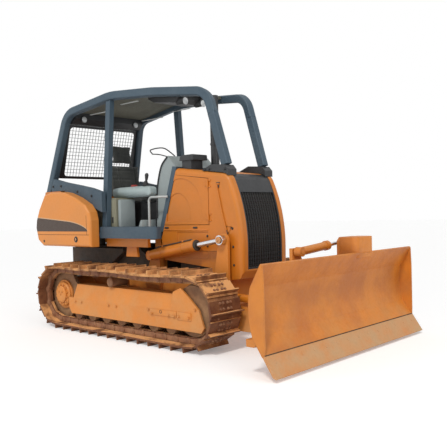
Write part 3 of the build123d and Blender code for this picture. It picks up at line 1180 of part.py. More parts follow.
def tilt_cylinder():
    """Tilt cylinder behind the top of the blade."""
    base, eye = (TILT_X, *TILT_BASE), (TILT_X, *TILT_EYE)
    barrel = cylinder_barrel(base, eye, (1, 0, 0), 42, 34, 22 + PIN_PLAY, TILT_BARREL_RADIUS, TILT_BARREL_LENGTH, TILT_ROD_RADIUS)
    rod = cylinder_rod(base, eye, (1, 0, 0), 38, TILT_EYE_HALF, TILT_ROD_RADIUS, TILT_BARREL_LENGTH, TILT_ROD_REACH, 20)
    return barrel, rod


def build_nodes():
    """Every node of the part, by name."""
    lift_barrel, lift_rod = lift_cylinder()
    angle_barrel, angle_rod = angle_cylinder()
    tilt_barrel, tilt_rod = tilt_cylinder()
    loop, arm, door = track(), c_arm(), engine_door()
    nodes = {
        "hull": hull(),
        "drive_housing": drive_housing(),
        "drawbar": drawbar(),
        "engine_block": engine_block(),
        "hood_top": hood_top(),
        "hood_sides": both_sides(hood_side()),
        "nose": nose(),
        "grille": grille(),
        "radiator": radiator(),
        "exhaust_stack": exhaust_stack(),
        "work_light": work_light(),
        "platform": platform(),
        "side_rails": both_sides(side_rail()),
        "fender_pods": both_sides(fender_pod()),
        "rear_tank": rear_tank(),
        "rear_posts": both_sides(rear_post()),
        "roof_rails": both_sides(roof_rail()),
        "mid_posts": both_sides(mid_post()),
        "canopy_roof": canopy_roof(),
        "rear_header": rear_header(),
        "roof_unit": roof_unit(),
        "front_sweeps": both_sides(front_sweep()),
        "canopy_feet": both_sides(canopy_foot()),
        "rear_guard": rear_guard(),
        "side_panels": both_sides(side_panel()),
        "cowl_frame": cowl_frame(),
        "dash": dash(),
        "seat_base": seat_base(),
        "seat_cushion": seat_cushion(),
        "seat_back": seat_back(),
        "seat_head": seat_head(),
        "consoles": both_sides(console()),
        "armrests": both_sides(armrest()),
        "levers": levers(),
        "handles": handles(),
        "track_frames": both_sides(track_frame()),
        "idlers": both_sides(idler()),
        "rollers": rollers(),
        "sprockets": both_sides(sprocket()),
        "final_drives": both_sides(final_drive()),
        "c_cross": c_cross(),
        "blade_yoke": blade_yoke(),
        "moldboard": moldboard(),
        "cutting_edge": cutting_edge(),
        "tilt_barrel": tilt_barrel,
        "tilt_rod": tilt_rod,
    }
    for name, side in (("right", RIGHT), ("left", LEFT)):
        nodes[f"track_{name}"] = on_side(loop, side)
        nodes[f"c_arm_{name}"] = on_side(arm, side)
        nodes[f"engine_door_{name}"] = on_side(door, side)
        nodes[f"lift_barrel_{name}"] = on_side(lift_barrel, side)
        nodes[f"lift_rod_{name}"] = on_side(lift_rod, side)
        nodes[f"angle_barrel_{name}"] = on_side(angle_barrel, side)
        nodes[f"angle_rod_{name}"] = on_side(angle_rod, side)
    return nodes


os.makedirs("parts", exist_ok=True)
for node_name, shape in build_nodes().items():
    export_step(Pos(-MIDDLE_X, 0, 0) * group(shape), f"parts/{node_name}.step")
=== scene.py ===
"""Looks of a small crawler bulldozer: finishes, padding, wire work, fasteners and the studio round it.

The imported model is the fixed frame. Every piece made here is in metres in its coordinates:
+X towards the blade, +Y to the machine's left, +Z up, z = 0 on the ground.
"""

from __future__ import annotations

import json
import logging
import math
from collections.abc import Iterable, Sequence
from dataclasses import dataclass
from enum import Enum

import bmesh
import bpy
from mathutils import Matrix, Vector


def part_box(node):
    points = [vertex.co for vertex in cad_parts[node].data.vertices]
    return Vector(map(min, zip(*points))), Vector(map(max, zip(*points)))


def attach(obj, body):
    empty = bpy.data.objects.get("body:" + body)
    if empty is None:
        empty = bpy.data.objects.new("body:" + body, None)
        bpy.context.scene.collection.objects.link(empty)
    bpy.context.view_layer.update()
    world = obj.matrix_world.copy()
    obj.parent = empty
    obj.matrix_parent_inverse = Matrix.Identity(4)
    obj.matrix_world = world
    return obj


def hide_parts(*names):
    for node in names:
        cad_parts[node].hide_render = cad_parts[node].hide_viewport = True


LOG = logging.getLogger("bulldozer")
Colour = tuple[float, float, float]
Point = tuple[float, float, float]
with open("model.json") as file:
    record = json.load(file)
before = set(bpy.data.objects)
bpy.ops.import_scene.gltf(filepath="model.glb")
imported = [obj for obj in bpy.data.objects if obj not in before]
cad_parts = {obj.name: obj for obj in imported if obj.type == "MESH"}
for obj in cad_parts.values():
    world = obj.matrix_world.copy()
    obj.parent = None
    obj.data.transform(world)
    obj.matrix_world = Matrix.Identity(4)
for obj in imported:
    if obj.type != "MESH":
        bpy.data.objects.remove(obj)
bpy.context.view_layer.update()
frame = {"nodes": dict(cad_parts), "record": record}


def middle_of(node: str) -> Vector:
    """Middle of a node's box.

    Args:
        node: The node's name.

    Returns:
        Its middle.
    """
    low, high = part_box(node)
    return (Vector(low) + Vector(high)) / 2


MIDDLE_X = (
    middle_of("sprockets").x + middle_of("idlers").x
) / 2  # pieces are drawn from midway between the axles


class Side(Enum):
    """The machine's two sides, as the sign of y."""

    RIGHT = -1
    LEFT = 1


class Body(Enum):
    """Bodies that pieces ride on."""

    TRACTOR = "tractor"
    C_FRAME = "c_frame"
    YOKE = "yoke"
    BLADE = "blade"
    TILT_BARREL = "tilt_barrel_body"
    TILT_ROD = "tilt_rod_body"
    LIFT_BARREL_RIGHT = "lift_barrel_right_body"
    LIFT_BARREL_LEFT = "lift_barrel_left_body"
    LIFT_ROD_RIGHT = "lift_rod_right_body"
    LIFT_ROD_LEFT = "lift_rod_left_body"
    DOOR_RIGHT = "engine_door_right_body"
    DOOR_LEFT = "engine_door_left_body"


class Slot(Enum):
    """Material slots of the record."""

    ORANGE = "orange_paint"
    SLATE = "slate_paint"
    BLACK = "black_paint"
    IRON = "dark_iron"
    TRACK = "track_steel"
    EDGE = "worn_steel"
    CHROME = "chrome_rod"
    BEIGE = "beige_plastic"
    GREY = "grey_plastic"
    CLOTH = "seat_cloth"
    PLASTIC = "black_plastic"
    PALE = "pale_paint"


# ---- node helpers -----------------------------------------------------------------------------


@dataclass
class Tree:
    """Short way to write a node tree.

    Args:
        tree: The shader or geometry node tree that nodes are added to.
    """

    tree: bpy.types.NodeTree

    def node(self, kind: str, **settings: object) -> bpy.types.Node:
        """Add a node.

        Args:
            kind: The node's type name.
            **settings: Properties of the node, such as its operation.

        Returns:
            The new node.
        """
        made = self.tree.nodes.new(kind)
        for key, value in settings.items():
            setattr(made, key, value)
        return made

    def feed(self, node: bpy.types.Node, **inputs: object) -> bpy.types.Node:
        """Set or link a node's inputs.

        Args:
            node: The node to feed.
            **inputs: Values or output sockets by input name, with _ for a space or by index as i0, i1.

        Returns:
            The same node.
        """
        for key, value in inputs.items():
            socket = node.inputs[int(key[1:])] if key[1:].isdigit() and key[0] == "i" else node.inputs[
                key.replace("_", " ")
            ]
            if isinstance(value, bpy.types.NodeSocket):
                self.tree.links.new(value, socket)
            elif isinstance(value, tuple) and len(value) == 3 and socket.type == "RGBA":
                socket.default_value = (*value, 1.0)
            else:
                socket.default_value = value
        return node

    def math(self, operation: str, a: object, b: object = 0.0, clamp: bool = False) -> bpy.types.NodeSocket:
        """Add a Math node.

        Args:
            operation: The Math node's operation.
            a: First value or socket.
            b: Second value or socket.
            clamp: Whether the result is kept between 0 and 1.

        Returns:
            The result's socket.
        """
        return self.feed(
            self.node("ShaderNodeMath", operation=operation, use_clamp=clamp), i0=a, i1=b
        ).outputs[0]

    def step(
        self, value: object, low: float, high: float, out_low: float = 0.0, out_high: float = 1.0
    ) -> bpy.types.NodeSocket:
        """Map a value smoothly between two limits.

        Args:
            value: The value or socket.
            low: The value that gives out_low.
            high: The value that gives out_high.
            out_low: Result at and below low.
            out_high: Result at and above high.

        Returns:
            The result's socket.
        """
        made = self.node("ShaderNodeMapRange", interpolation_type="SMOOTHSTEP")
        return self.feed(made, i0=value, i1=low, i2=high, i3=out_low, i4=out_high).outputs[0]

    def blend(self, share: object, a: object, b: object, how: str = "MIX") -> bpy.types.NodeSocket:
        """Mix two colours.

        Args:
            share: How much of b shows, as a value or socket.
            a: First colour or socket.
            b: Second colour or socket.
            how: The blend type.

        Returns:
            The mixed colour's socket.
        """
        made = self.node("ShaderNodeMix", data_type="RGBA", blend_type=how)
        self.feed(made, i0=share)
        for index, value in ((6, a), (7, b)):
            if isinstance(value, bpy.types.NodeSocket):
                self.tree.links.new(value, made.inputs[index])
            else:
                made.inputs[index].default_value = (*value, 1.0)
        return made.outputs[2]

    def noise(
        self, where: bpy.types.NodeSocket, scale: object, detail: float = 4.0, rough: float = 0.55
    ) -> bpy.types.NodeSocket:
        """Add a noise texture.

        Args:
            where: Coordinates socket.
            scale: Scale value or socket.
            detail: Octaves.
            rough: Roughness of the noise.

        Returns:
            The noise value's socket.
        """
        made = self.node("ShaderNodeTexNoise")
        return self.feed(made, Vector=where, Scale=scale, Detail=detail, Roughness=rough).outputs[0]


def new_group(
    name: str, inputs: dict[str, float], outputs: dict[str, str]
) -> tuple[Tree, bpy.types.Node, bpy.types.Node]:
    """Start a shader node group.

    Args:
        name: The group's name.
        inputs: Default value of each float input, by name.
        outputs: Socket type of each output, by name.

    Returns:
        The tree and its input and output nodes.
    """
    group = bpy.data.node_groups.new(name, "ShaderNodeTree")
    for key, value in inputs.items():
        made = group.interface.new_socket(name=key, in_out="INPUT", socket_type="NodeSocketFloat")
        made.default_value = value
    for key, kind in outputs.items():
        group.interface.new_socket(name=key, in_out="OUTPUT", socket_type=kind)
    tree = Tree(group)
    return tree, tree.node("NodeGroupInput"), tree.node("NodeGroupOutput")


class Effects:
    """Shader node groups shared by the finishes."""

    def __init__(self) -> None:
        """Build every group once."""
        self.wear = self._wear()
        self.dust = self._dust()
        self.mottle = self._mottle()
        self.scratches = self._scratches()
        self.weave = self._weave()
        self.stripe = self._stripe()

    def _wear(self) -> bpy.types.NodeTree:
        """Rounded edge normal, and a mask of chipped edges.

        Returns:
            The node group.
        """
        tree, given, out = new_group(
            "edge_wear", {"Radius": 0.004, "Amount": 0.5, "Grain": 40.0},
            {"Mask": "NodeSocketFloat", "Normal": "NodeSocketVector"}
        )
        soft = tree.feed(tree.node("ShaderNodeBevel", samples=4), Radius=given.outputs["Radius"])
        plain = tree.node("ShaderNodeNewGeometry")
        dot = tree.node("ShaderNodeVectorMath", operation="DOT_PRODUCT")
        tree.feed(dot, i0=soft.outputs[0], i1=plain.outputs["Normal"])
        edge = tree.step(dot.outputs["Value"], 0.995, 0.86)
        where = tree.node("ShaderNodeTexCoord").outputs["Object"]
        broken = tree.step(tree.noise(where, given.outputs["Grain"], 5.0, 0.7), 0.46, 0.62)
        mask = tree.math(
            "MULTIPLY", tree.math("MULTIPLY", edge, broken), given.outputs["Amount"], clamp=True
        )
        tree.feed(out, Mask=mask, Normal=soft.outputs[0])
        return tree.tree

    def _dust(self) -> bpy.types.NodeTree:
        """Mask of dust that lies on upward faces and thickens towards the ground.

        Returns:
            The node group.
        """
        tree, given, out = new_group(
            "dust_film", {"Amount": 0.5, "Low": 0.1, "High": 1.1, "Upward": 0.5, "Scale": 5.0},
            {"Mask": "NodeSocketFloat"}
        )
        coords = tree.node("ShaderNodeTexCoord")
        height = tree.feed(tree.node("ShaderNodeSeparateXYZ"), i0=coords.outputs["Object"]).outputs[2]
        upward = tree.feed(tree.node("ShaderNodeSeparateXYZ"), i0=coords.outputs["Normal"]).outputs[2]
        span = tree.node("ShaderNodeMapRange", interpolation_type="SMOOTHSTEP")
        tree.feed(span, i0=height, i1=given.outputs["High"], i2=given.outputs["Low"], i3=0.0, i4=1.0)
        lying = tree.math("MULTIPLY", tree.step(upward, 0.25, 0.95), given.outputs["Upward"])
        patchy = tree.step(
            tree.noise(coords.outputs["Object"], given.outputs["Scale"], 8.0, 0.62), 0.32, 0.72
        )
        fine = tree.noise(coords.outputs["Object"], 160.0, 3.0, 0.6)
        total = tree.math("MULTIPLY", tree.math("ADD", span.outputs[0], lying), patchy)
        total = tree.math("MULTIPLY", total, tree.math("ADD", tree.math("MULTIPLY", fine, 0.7), 0.65))
        tree.feed(out, Mask=tree.math("MULTIPLY", total, given.outputs["Amount"], clamp=True))
        return tree.tree

    def _mottle(self) -> bpy.types.NodeTree:
        """Slow and fine colour variation, and a height for the surface's grain.

        Returns:
            The node group.
        """
        tree, given, out = new_group(
            "mottle", {"Scale": 3.0, "Grain": 220.0},
            {"Slow": "NodeSocketFloat", "Fine": "NodeSocketFloat", "Height": "NodeSocketFloat"}
        )
        where = tree.node("ShaderNodeTexCoord").outputs["Object"]
        slow = tree.noise(where, given.outputs["Scale"], 6.0, 0.6)
        fine = tree.noise(where, tree.math("MULTIPLY", given.outputs["Scale"], 14.0), 4.0, 0.6)
        tree.feed(out, Slow=slow, Fine=fine, Height=tree.noise(where, given.outputs["Grain"], 2.0, 0.5))
        return tree.tree

    def _scratches(self) -> bpy.types.NodeTree:
        """Mask of long fine rubs along the height of a plate.

        Returns:
            The node group.
        """
        tree, given, out = new_group(
            "rubs", {"Amount": 0.5, "Along": 1.5, "Across": 70.0}, {"Mask": "NodeSocketFloat"}
        )
        where = tree.node("ShaderNodeTexCoord").outputs["Object"]
        parts = tree.feed(tree.node("ShaderNodeSeparateXYZ"), i0=where)
        stretched = tree.node("ShaderNodeCombineXYZ")
        tree.feed(
            stretched,
            i0=tree.math("MULTIPLY", parts.outputs[0], given.outputs["Along"]),
            i1=tree.math("MULTIPLY", parts.outputs[1], given.outputs["Across"]),
            i2=tree.math("MULTIPLY", parts.outputs[2], given.outputs["Along"]),
        )
        lines = tree.step(tree.noise(stretched.outputs[0], 1.0, 6.0, 0.7), 0.56, 0.7)
        patches = tree.step(tree.noise(where, 2.2, 4.0, 0.6), 0.4, 0.65)
        tree.feed(
            out,
            Mask=tree.math(
                "MULTIPLY", tree.math("MULTIPLY", lines, patches), given.outputs["Amount"], clamp=True
            )
        )
        return tree.tree

    def _weave(self) -> bpy.types.NodeTree:
        """Height and shade of a plain woven cloth.

        Returns:
            The node group.
        """
        tree, given, out = new_group(
            "weave", {"Threads": 520.0}, {"Height": "NodeSocketFloat", "Shade": "NodeSocketFloat"}
        )
        where = tree.node("ShaderNodeTexCoord").outputs["Object"]
        parts = tree.feed(tree.node("ShaderNodeSeparateXYZ"), i0=where)
        along = tree.math(
            "SINE",
            tree.math(
                "MULTIPLY", tree.math("ADD", parts.outputs[0], parts.outputs[2]), given.outputs["Threads"]
            )
        )
        cross = tree.math("SINE", tree.math("MULTIPLY", parts.outputs[1], given.outputs["Threads"]))
        height = tree.math("MAXIMUM", along, cross)
        shade = tree.noise(where, 30.0, 3.0, 0.5)
        tree.feed(out, Height=height, Shade=shade)
        return tree.tree

    def _stripe(self) -> bpy.types.NodeTree:
        """Plain tapered stripe on a pod's outer side, with a thin pale line over its top edge as a painted
        highlight.

        Returns:
            The node group.
        """
        tree, given, out = new_group(
            "pod_stripe",
            {"Bottom": 1.12, "Rear": -1.645, "Bend": -0.95, "Reach": 0.40, "High": 0.169, "Fall": 0.077},
            {"Mask": "NodeSocketFloat", "Line": "NodeSocketFloat"},
        )
        where = tree.node("ShaderNodeTexCoord").outputs["Object"]
        parts = tree.feed(tree.node("ShaderNodeSeparateXYZ"), i0=where)
        along = tree.math("SUBTRACT", parts.outputs[0], MIDDLE_X)
        up = tree.math("SUBTRACT", parts.outputs[2], given.outputs["Bottom"])
        fall = tree.math(
            "MULTIPLY", tree.math("SUBTRACT", along, given.outputs["Rear"]), given.outputs["Fall"]
        )
        share = tree.math(
            "DIVIDE", tree.math("SUBTRACT", along, given.outputs["Bend"]), given.outputs["Reach"],
            clamp=True
        )
        arc = tree.math("SQRT", tree.math("SUBTRACT", 1.0, tree.math("MULTIPLY", share, share)))
        top = tree.math("MULTIPLY", tree.math("SUBTRACT", given.outputs["High"], fall), arc)
        outer = tree.math("GREATER_THAN", tree.math("ABSOLUTE", parts.outputs[1]), 0.815)
        ahead = tree.math("LESS_THAN", share, 0.999)
        inside = tree.math(
            "MULTIPLY", tree.math("MULTIPLY", outer, ahead), tree.math("GREATER_THAN", up, 0.0)
        )
        mask = tree.math("MULTIPLY", inside, tree.math("LESS_THAN", up, top))
        # The thin band just over the stripe's top is a painted highlight line.
        wide = tree.math("MULTIPLY", inside, tree.math("LESS_THAN", up, tree.math("ADD", top, 0.009)))
        tree.feed(out, Mask=mask, Line=tree.math("SUBTRACT", wide, mask))
        return tree.tree


EFFECTS = Effects()


# ---- finishes -----------------------------------------------------------------------------------


@dataclass(frozen=True)
class Finish:
    """A painted, moulded or bare surface with wear and dust.

    Args:
        name: The material's name.
        colour: Main colour, linear.
        faded: Colour that it varies towards.
        under: Colour that shows where edges are chipped.
        dust: Colour of the dust.
        rough: Roughness of the clean surface.
        metal: Metallic value.
        chips: How much the edges are chipped.
        dusty: How much dust lies on it.
        dust_low: Height below which the dust is thickest.
        dust_high: Height above which only lying dust is left.
        upward: How much dust lies on upward faces.
        bump: Strength of the grain.
        grain: Scale of the grain.
        scale: Scale of the colour variation.
        rubs: How much the face is rubbed in long strokes.
        rub_colour: Colour of those strokes.
        rounding: Radius of the rounded edges, in metres.
        coat: Clear coat weight.
        stripe: Whether it carries the pods' stripe and the painted highlight line over it.
    """

    name: str
    colour: Colour
    faded: Colour
    under: Colour = (0.05, 0.04, 0.035)
    dust: Colour = (0.46, 0.33, 0.21)
    rough: float = 0.42
    metal: float = 0.0
    chips: float = 0.35
    dusty: float = 0.3
    dust_low: float = 0.1
    dust_high: float = 1.0
    upward: float = 0.5
    bump: float = 0.03
    grain: float = 240.0
    scale: float = 2.6
    rubs: float = 0.0
    rub_colour: Colour = (0.35, 0.30, 0.25)
    rounding: float = 0.004
    coat: float = 0.0
    stripe: bool = False

    def build(self) -> bpy.types.Material:
        """Make the material.

        Returns:
            The new material.
        """
        made = bpy.data.materials.new(self.name)
        made.use_nodes = True
        made.node_tree.nodes.clear()
        tree = Tree(made.node_tree)
        shader = tree.node("ShaderNodeBsdfPrincipled")
        target = tree.node("ShaderNodeOutputMaterial")
        mottle = tree.feed(
            tree.node("ShaderNodeGroup", node_tree=EFFECTS.mottle), Scale=self.scale, Grain=self.grain
        )
        wear = tree.feed(
            tree.node("ShaderNodeGroup", node_tree=EFFECTS.wear), Radius=self.rounding, Amount=self.chips
        )
        dust = tree.feed(
            tree.node("ShaderNodeGroup", node_tree=EFFECTS.dust),
            Amount=self.dusty, Low=self.dust_low, High=self.dust_high, Upward=self.upward,
        )
        base = tree.blend(tree.step(mottle.outputs["Slow"], 0.35, 0.68), self.colour, self.faded)
        darker = tuple(channel * 0.82 for channel in self.colour)
        base = tree.blend(tree.step(mottle.outputs["Fine"], 0.55, 0.8, 0.0, 0.35), base, darker)
        rough = tree.step(mottle.outputs["Fine"], 0.3, 0.75, self.rough - 0.07, self.rough + 0.1)
        if self.stripe:
            stripe = tree.node("ShaderNodeGroup", node_tree=EFFECTS.stripe)
            base = tree.blend(
                tree.math("MULTIPLY", stripe.outputs["Mask"], 0.95), base, (0.016, 0.015, 0.014)
            )
            # Pale line over the stripe's top edge: a painted highlight.
            base = tree.blend(tree.math("MULTIPLY", stripe.outputs["Line"], 0.7), base, (0.55, 0.42, 0.27))
        if self.rubs:
            rubs = tree.feed(tree.node("ShaderNodeGroup", node_tree=EFFECTS.scratches), Amount=self.rubs)
            base = tree.blend(rubs.outputs["Mask"], base, self.rub_colour)
        base = tree.blend(wear.outputs["Mask"], base, self.under)
        base = tree.blend(dust.outputs["Mask"], base, self.dust)
        rough = tree.math("ADD", rough, tree.math("MULTIPLY", dust.outputs["Mask"], 0.4), clamp=True)
        height = tree.math(
            "ADD", mottle.outputs["Height"], tree.math("MULTIPLY", dust.outputs["Mask"], 0.6)
        )
        bump = tree.feed(
            tree.node("ShaderNodeBump"),
            Strength=min(1.0, self.bump * 8), Distance=0.002, Height=height, Normal=wear.outputs["Normal"],
        )
        tree.feed(shader, Base_Color=base, Roughness=rough, Metallic=self.metal, Normal=bump.outputs[0])
        shader.inputs["Coat Weight"].default_value = self.coat
        tree.feed(target, Surface=shader.outputs[0])
        return made


@dataclass(frozen=True)
class Cloth:
    """Woven seat cloth.

    Args:
        name: The material's name.
        colour: Main colour, linear.
        light: Colour painted on the raised threads as their highlight.
        threads: Threads in radians per metre.
    """

    name: str
    colour: Colour
    light: Colour
    threads: float = 1500.0

    def build(self) -> bpy.types.Material:
        """Make the material.

        Returns:
            The new material.
        """
        made = bpy.data.materials.new(self.name)
        made.use_nodes = True
        made.node_tree.nodes.clear()
        tree = Tree(made.node_tree)
        shader = tree.node("ShaderNodeBsdfPrincipled")
        target = tree.node("ShaderNodeOutputMaterial")
        weave = tree.feed(tree.node("ShaderNodeGroup", node_tree=EFFECTS.weave), Threads=self.threads)
        # Raised threads are coloured lighter: a painted highlight.
        thread_highlight = tree.step(weave.outputs["Height"], -0.2, 1.0, 0.0, 0.7)
        base = tree.blend(thread_highlight, self.colour, self.light)
        base = tree.blend(
            tree.step(weave.outputs["Shade"], 0.4, 0.7, 0.0, 0.4), base, tuple(c * 0.6 for c in self.colour)
        )
        bump = tree.feed(
            tree.node("ShaderNodeBump"), Strength=0.5, Distance=0.001, Height=weave.outputs["Height"]
        )
        tree.feed(shader, Base_Color=base, Roughness=0.92, Normal=bump.outputs[0])
        shader.inputs["Sheen Weight"].default_value = 0.3
        tree.feed(target, Surface=shader.outputs[0])
        return made


ORANGE: Colour = (0.57, 0.170, 0.010)
PAINT = Finish(
    "orange_paint", ORANGE, (0.50, 0.160, 0.014), dusty=0.34, dust=(0.52, 0.27, 0.10), upward=1.0,
    chips=0.25, rough=0.42
)
POD_PAINT = Finish(
    "pod_paint", (0.64, 0.225, 0.035), (0.60, 0.22, 0.04), dusty=0.34, dust=(0.52, 0.33, 0.17), chips=0.2,
    rough=0.42, stripe=True
)
BLADE_PAINT = Finish(
    "blade_paint", (0.58, 0.190, 0.018), (0.44, 0.130, 0.016), dusty=0.4, dust=(0.48, 0.25, 0.09),
    dust_high=0.8,
    rubs=0.45, rub_colour=(0.30, 0.115, 0.035), chips=0.6, rough=0.5,
)
FRAME_PAINT = Finish(
    "frame_paint", (0.64, 0.215, 0.026), (0.56, 0.190, 0.028), dusty=0.6, dust=(0.56, 0.30, 0.12),
    dust_high=0.9, chips=0.5, rough=0.5,
)
SLATE = Finish(
    "slate_paint", (0.036, 0.064, 0.090), (0.050, 0.080, 0.106), dusty=0.08, dust=(0.26, 0.24, 0.21),
    chips=0.3, rough=0.56
)
BLACK = Finish(
    "black_paint", (0.012, 0.013, 0.015), (0.02, 0.021, 0.023), dusty=0.16, dust=(0.22, 0.18, 0.14),
    chips=0.2, rough=0.42
)
IRON = Finish(
    "dark_iron", (0.035, 0.028, 0.022), (0.06, 0.042, 0.03), dusty=0.6, dust=(0.22, 0.14, 0.08),
    dust_high=1.3, rough=0.7, bump=0.08
)
TRACK = Finish(
    "track_steel", (0.115, 0.033, 0.009), (0.20, 0.075, 0.025), under=(0.40, 0.26, 0.15),
    dust=(0.74, 0.37, 0.14), dusty=1.0,
    dust_low=0.72, dust_high=0.48, upward=2.6, chips=0.5, rough=0.72, bump=0.1, scale=9.0,
)
CHAIN = Finish(
    "chain_steel", (0.17, 0.060, 0.026), (0.27, 0.11, 0.05), under=(0.30, 0.22, 0.16),
    dust=(0.42, 0.24, 0.13), dusty=0.7,
    chips=0.4, rough=0.66, bump=0.08, scale=12.0,
)
ROLLER = Finish(
    "roller_iron", (0.15, 0.062, 0.026), (0.24, 0.11, 0.045), dust=(0.40, 0.24, 0.12), dusty=0.8, rough=0.7,
    bump=0.1, scale=9.0
)
EDGE = Finish(
    "worn_steel", (0.52, 0.27, 0.11), (0.56, 0.22, 0.06), under=(0.62, 0.54, 0.47), dust=(0.50, 0.33, 0.18),
    dusty=0.7,
    dust_high=0.35, rough=0.5, metal=0.25, rubs=0.8, rub_colour=(0.66, 0.50, 0.36), chips=0.7,
)
CHROME = Finish(
    "chrome_rod", (0.72, 0.72, 0.74), (0.68, 0.68, 0.70), dusty=0.05, rough=0.12, metal=1.0, chips=0.0,
    bump=0.005
)
BEIGE = Finish(
    "beige_plastic", (0.26, 0.25, 0.175), (0.235, 0.225, 0.16), dusty=0.1, rough=0.62, chips=0.0, bump=0.12,
    grain=900.0
)
GREY = Finish(
    "grey_plastic", (0.30, 0.34, 0.34), (0.27, 0.31, 0.31), dusty=0.12, rough=0.6, chips=0.0, bump=0.12,
    grain=900.0
)
PLASTIC = Finish(
    "black_plastic", (0.018, 0.018, 0.019), (0.028, 0.028, 0.029), dusty=0.12, dust=(0.2, 0.18, 0.15),
    rough=0.55, chips=0.0, bump=0.1
)
PALE = Finish("pale_paint", (0.42, 0.44, 0.43), (0.38, 0.40, 0.39), dusty=0.1, rough=0.4, chips=0.2)
CLOTH = Cloth("seat_cloth", (0.020, 0.022, 0.020), (0.060, 0.064, 0.056))
VINYL = Finish(
    "armrest_vinyl", (0.36, 0.43, 0.43), (0.32, 0.39, 0.39), dusty=0.1, rough=0.5, chips=0.0, bump=0.15,
    grain=1400.0
)
LINING = Finish(
    "roof_lining", (0.115, 0.115, 0.085), (0.095, 0.095, 0.072), dusty=0.0, rough=0.75, chips=0.0, bump=0.1,
    grain=600.0
)
NET = Finish(
    "net_wire", (0.020, 0.018, 0.016), (0.04, 0.03, 0.022), dusty=0.35, dust=(0.30, 0.17, 0.08), rough=0.5,
    chips=0.0
)
SHADOW = Finish(
    "seam_shadow", (0.010, 0.008, 0.007), (0.018, 0.013, 0.010), dusty=0.1, rough=0.85, chips=0.0
)
WEBBING = Finish(
    "belt_webbing", (0.015, 0.016, 0.018), (0.03, 0.03, 0.032), dusty=0.05, rough=0.85, chips=0.0, bump=0.2,
    grain=1800.0
)
RED = Finish("red_plastic", (0.42, 0.035, 0.022), (0.36, 0.03, 0.02), dusty=0.08, rough=0.45, chips=0.0)
LENS = Finish(
    "lamp_lens", (0.60, 0.62, 0.62), (0.55, 0.57, 0.58), dusty=0.08, rough=0.12, chips=0.0, bump=0.005,
    coat=1.0
)

BY_SLOT = {
    Slot.ORANGE: PAINT, Slot.SLATE: SLATE, Slot.BLACK: BLACK, Slot.IRON: IRON, Slot.TRACK: TRACK,
    Slot.EDGE: EDGE,
    Slot.CHROME: CHROME, Slot.BEIGE: BEIGE, Slot.GREY: GREY, Slot.CLOTH: CLOTH, Slot.PLASTIC: PLASTIC,
    Slot.PALE: PALE,
}
BY_NODE = {
    "moldboard": BLADE_PAINT, "blade_yoke": FRAME_PAINT, "c_cross": FRAME_PAINT, "c_arm_right": FRAME_PAINT,
    "c_arm_left": FRAME_PAINT,
    "track_frames": FRAME_PAINT, "final_drives": FRAME_PAINT, "hull": FRAME_PAINT, "rollers": ROLLER,
    "sprockets": ROLLER,
    "idlers": ROLLER, "canopy_roof": LINING, "fender_pods": POD_PAINT,
}
ALSO_IN_SLOT = {
    Slot.ORANGE: (POD_PAINT, BLADE_PAINT, FRAME_PAINT), Slot.TRACK: (CHAIN,), Slot.GREY: (VINYL,),
    Slot.BLACK: (NET, SHADOW, RED), Slot.CLOTH: (WEBBING,), Slot.PALE: (LENS,),
}
SLOT_OF = {finish.name: slot for slot, finish in BY_SLOT.items()}
SLOT_OF |= {finish.name: slot for slot, finishes in ALSO_IN_SLOT.items() for finish in finishes}
MATERIALS: dict[str, bpy.types.Material] = {}


def material(finish: Finish | Cloth) -> bpy.types.Material:
    """The finish's material, made on first use.

    Args:
        finish: The finish.

    Returns:
        Its material.
    """
    if finish.name not in MATERIALS:
        MATERIALS[finish.name] = finish.build()
    return MATERIALS[finish.name]


def dress_nodes() -> None:
    """Give every node of the frame the finish of its slot, or its own."""
    for part in frame["record"]["subparts"]:
        node = frame["nodes"][part["node"]]
        finish = BY_NODE.get(part["node"], BY_SLOT[Slot(part["material_slot"])])
        node.data.materials.clear()
        node.data.materials.append(material(finish))


# ---- shapes -------------------------------------------------------------------------------------


PLANES = {"xz": (0, 2, 1), "yz": (1, 2, 0), "xy": (0, 1, 2)}


def smooth_path(points: Sequence[Point], steps: int = 6) -> list[Vector]:
    """Smooth line through the points.

    Args:
        points: The points that it passes.
        steps: Straight pieces between two of them.

    Returns:
        The line's points.
    """
    known = [Vector(point) for point in points]
    known = [known[0] * 2 - known[1], *known, known[-1] * 2 - known[-2]]
    line = []
    for before, start, end, after in zip(known, known[1:], known[2:], known[3:]):
        for step in range(steps):
            t = step / steps
            line.append(
                0.5 * ((2 * start) + (end - before) * t + (2 * before - 5 * start + 4 * end - after) * t**2
                       + (3 * start - before - 3 * end + after) * t**3)
            )
    return [*line, known[-2]]


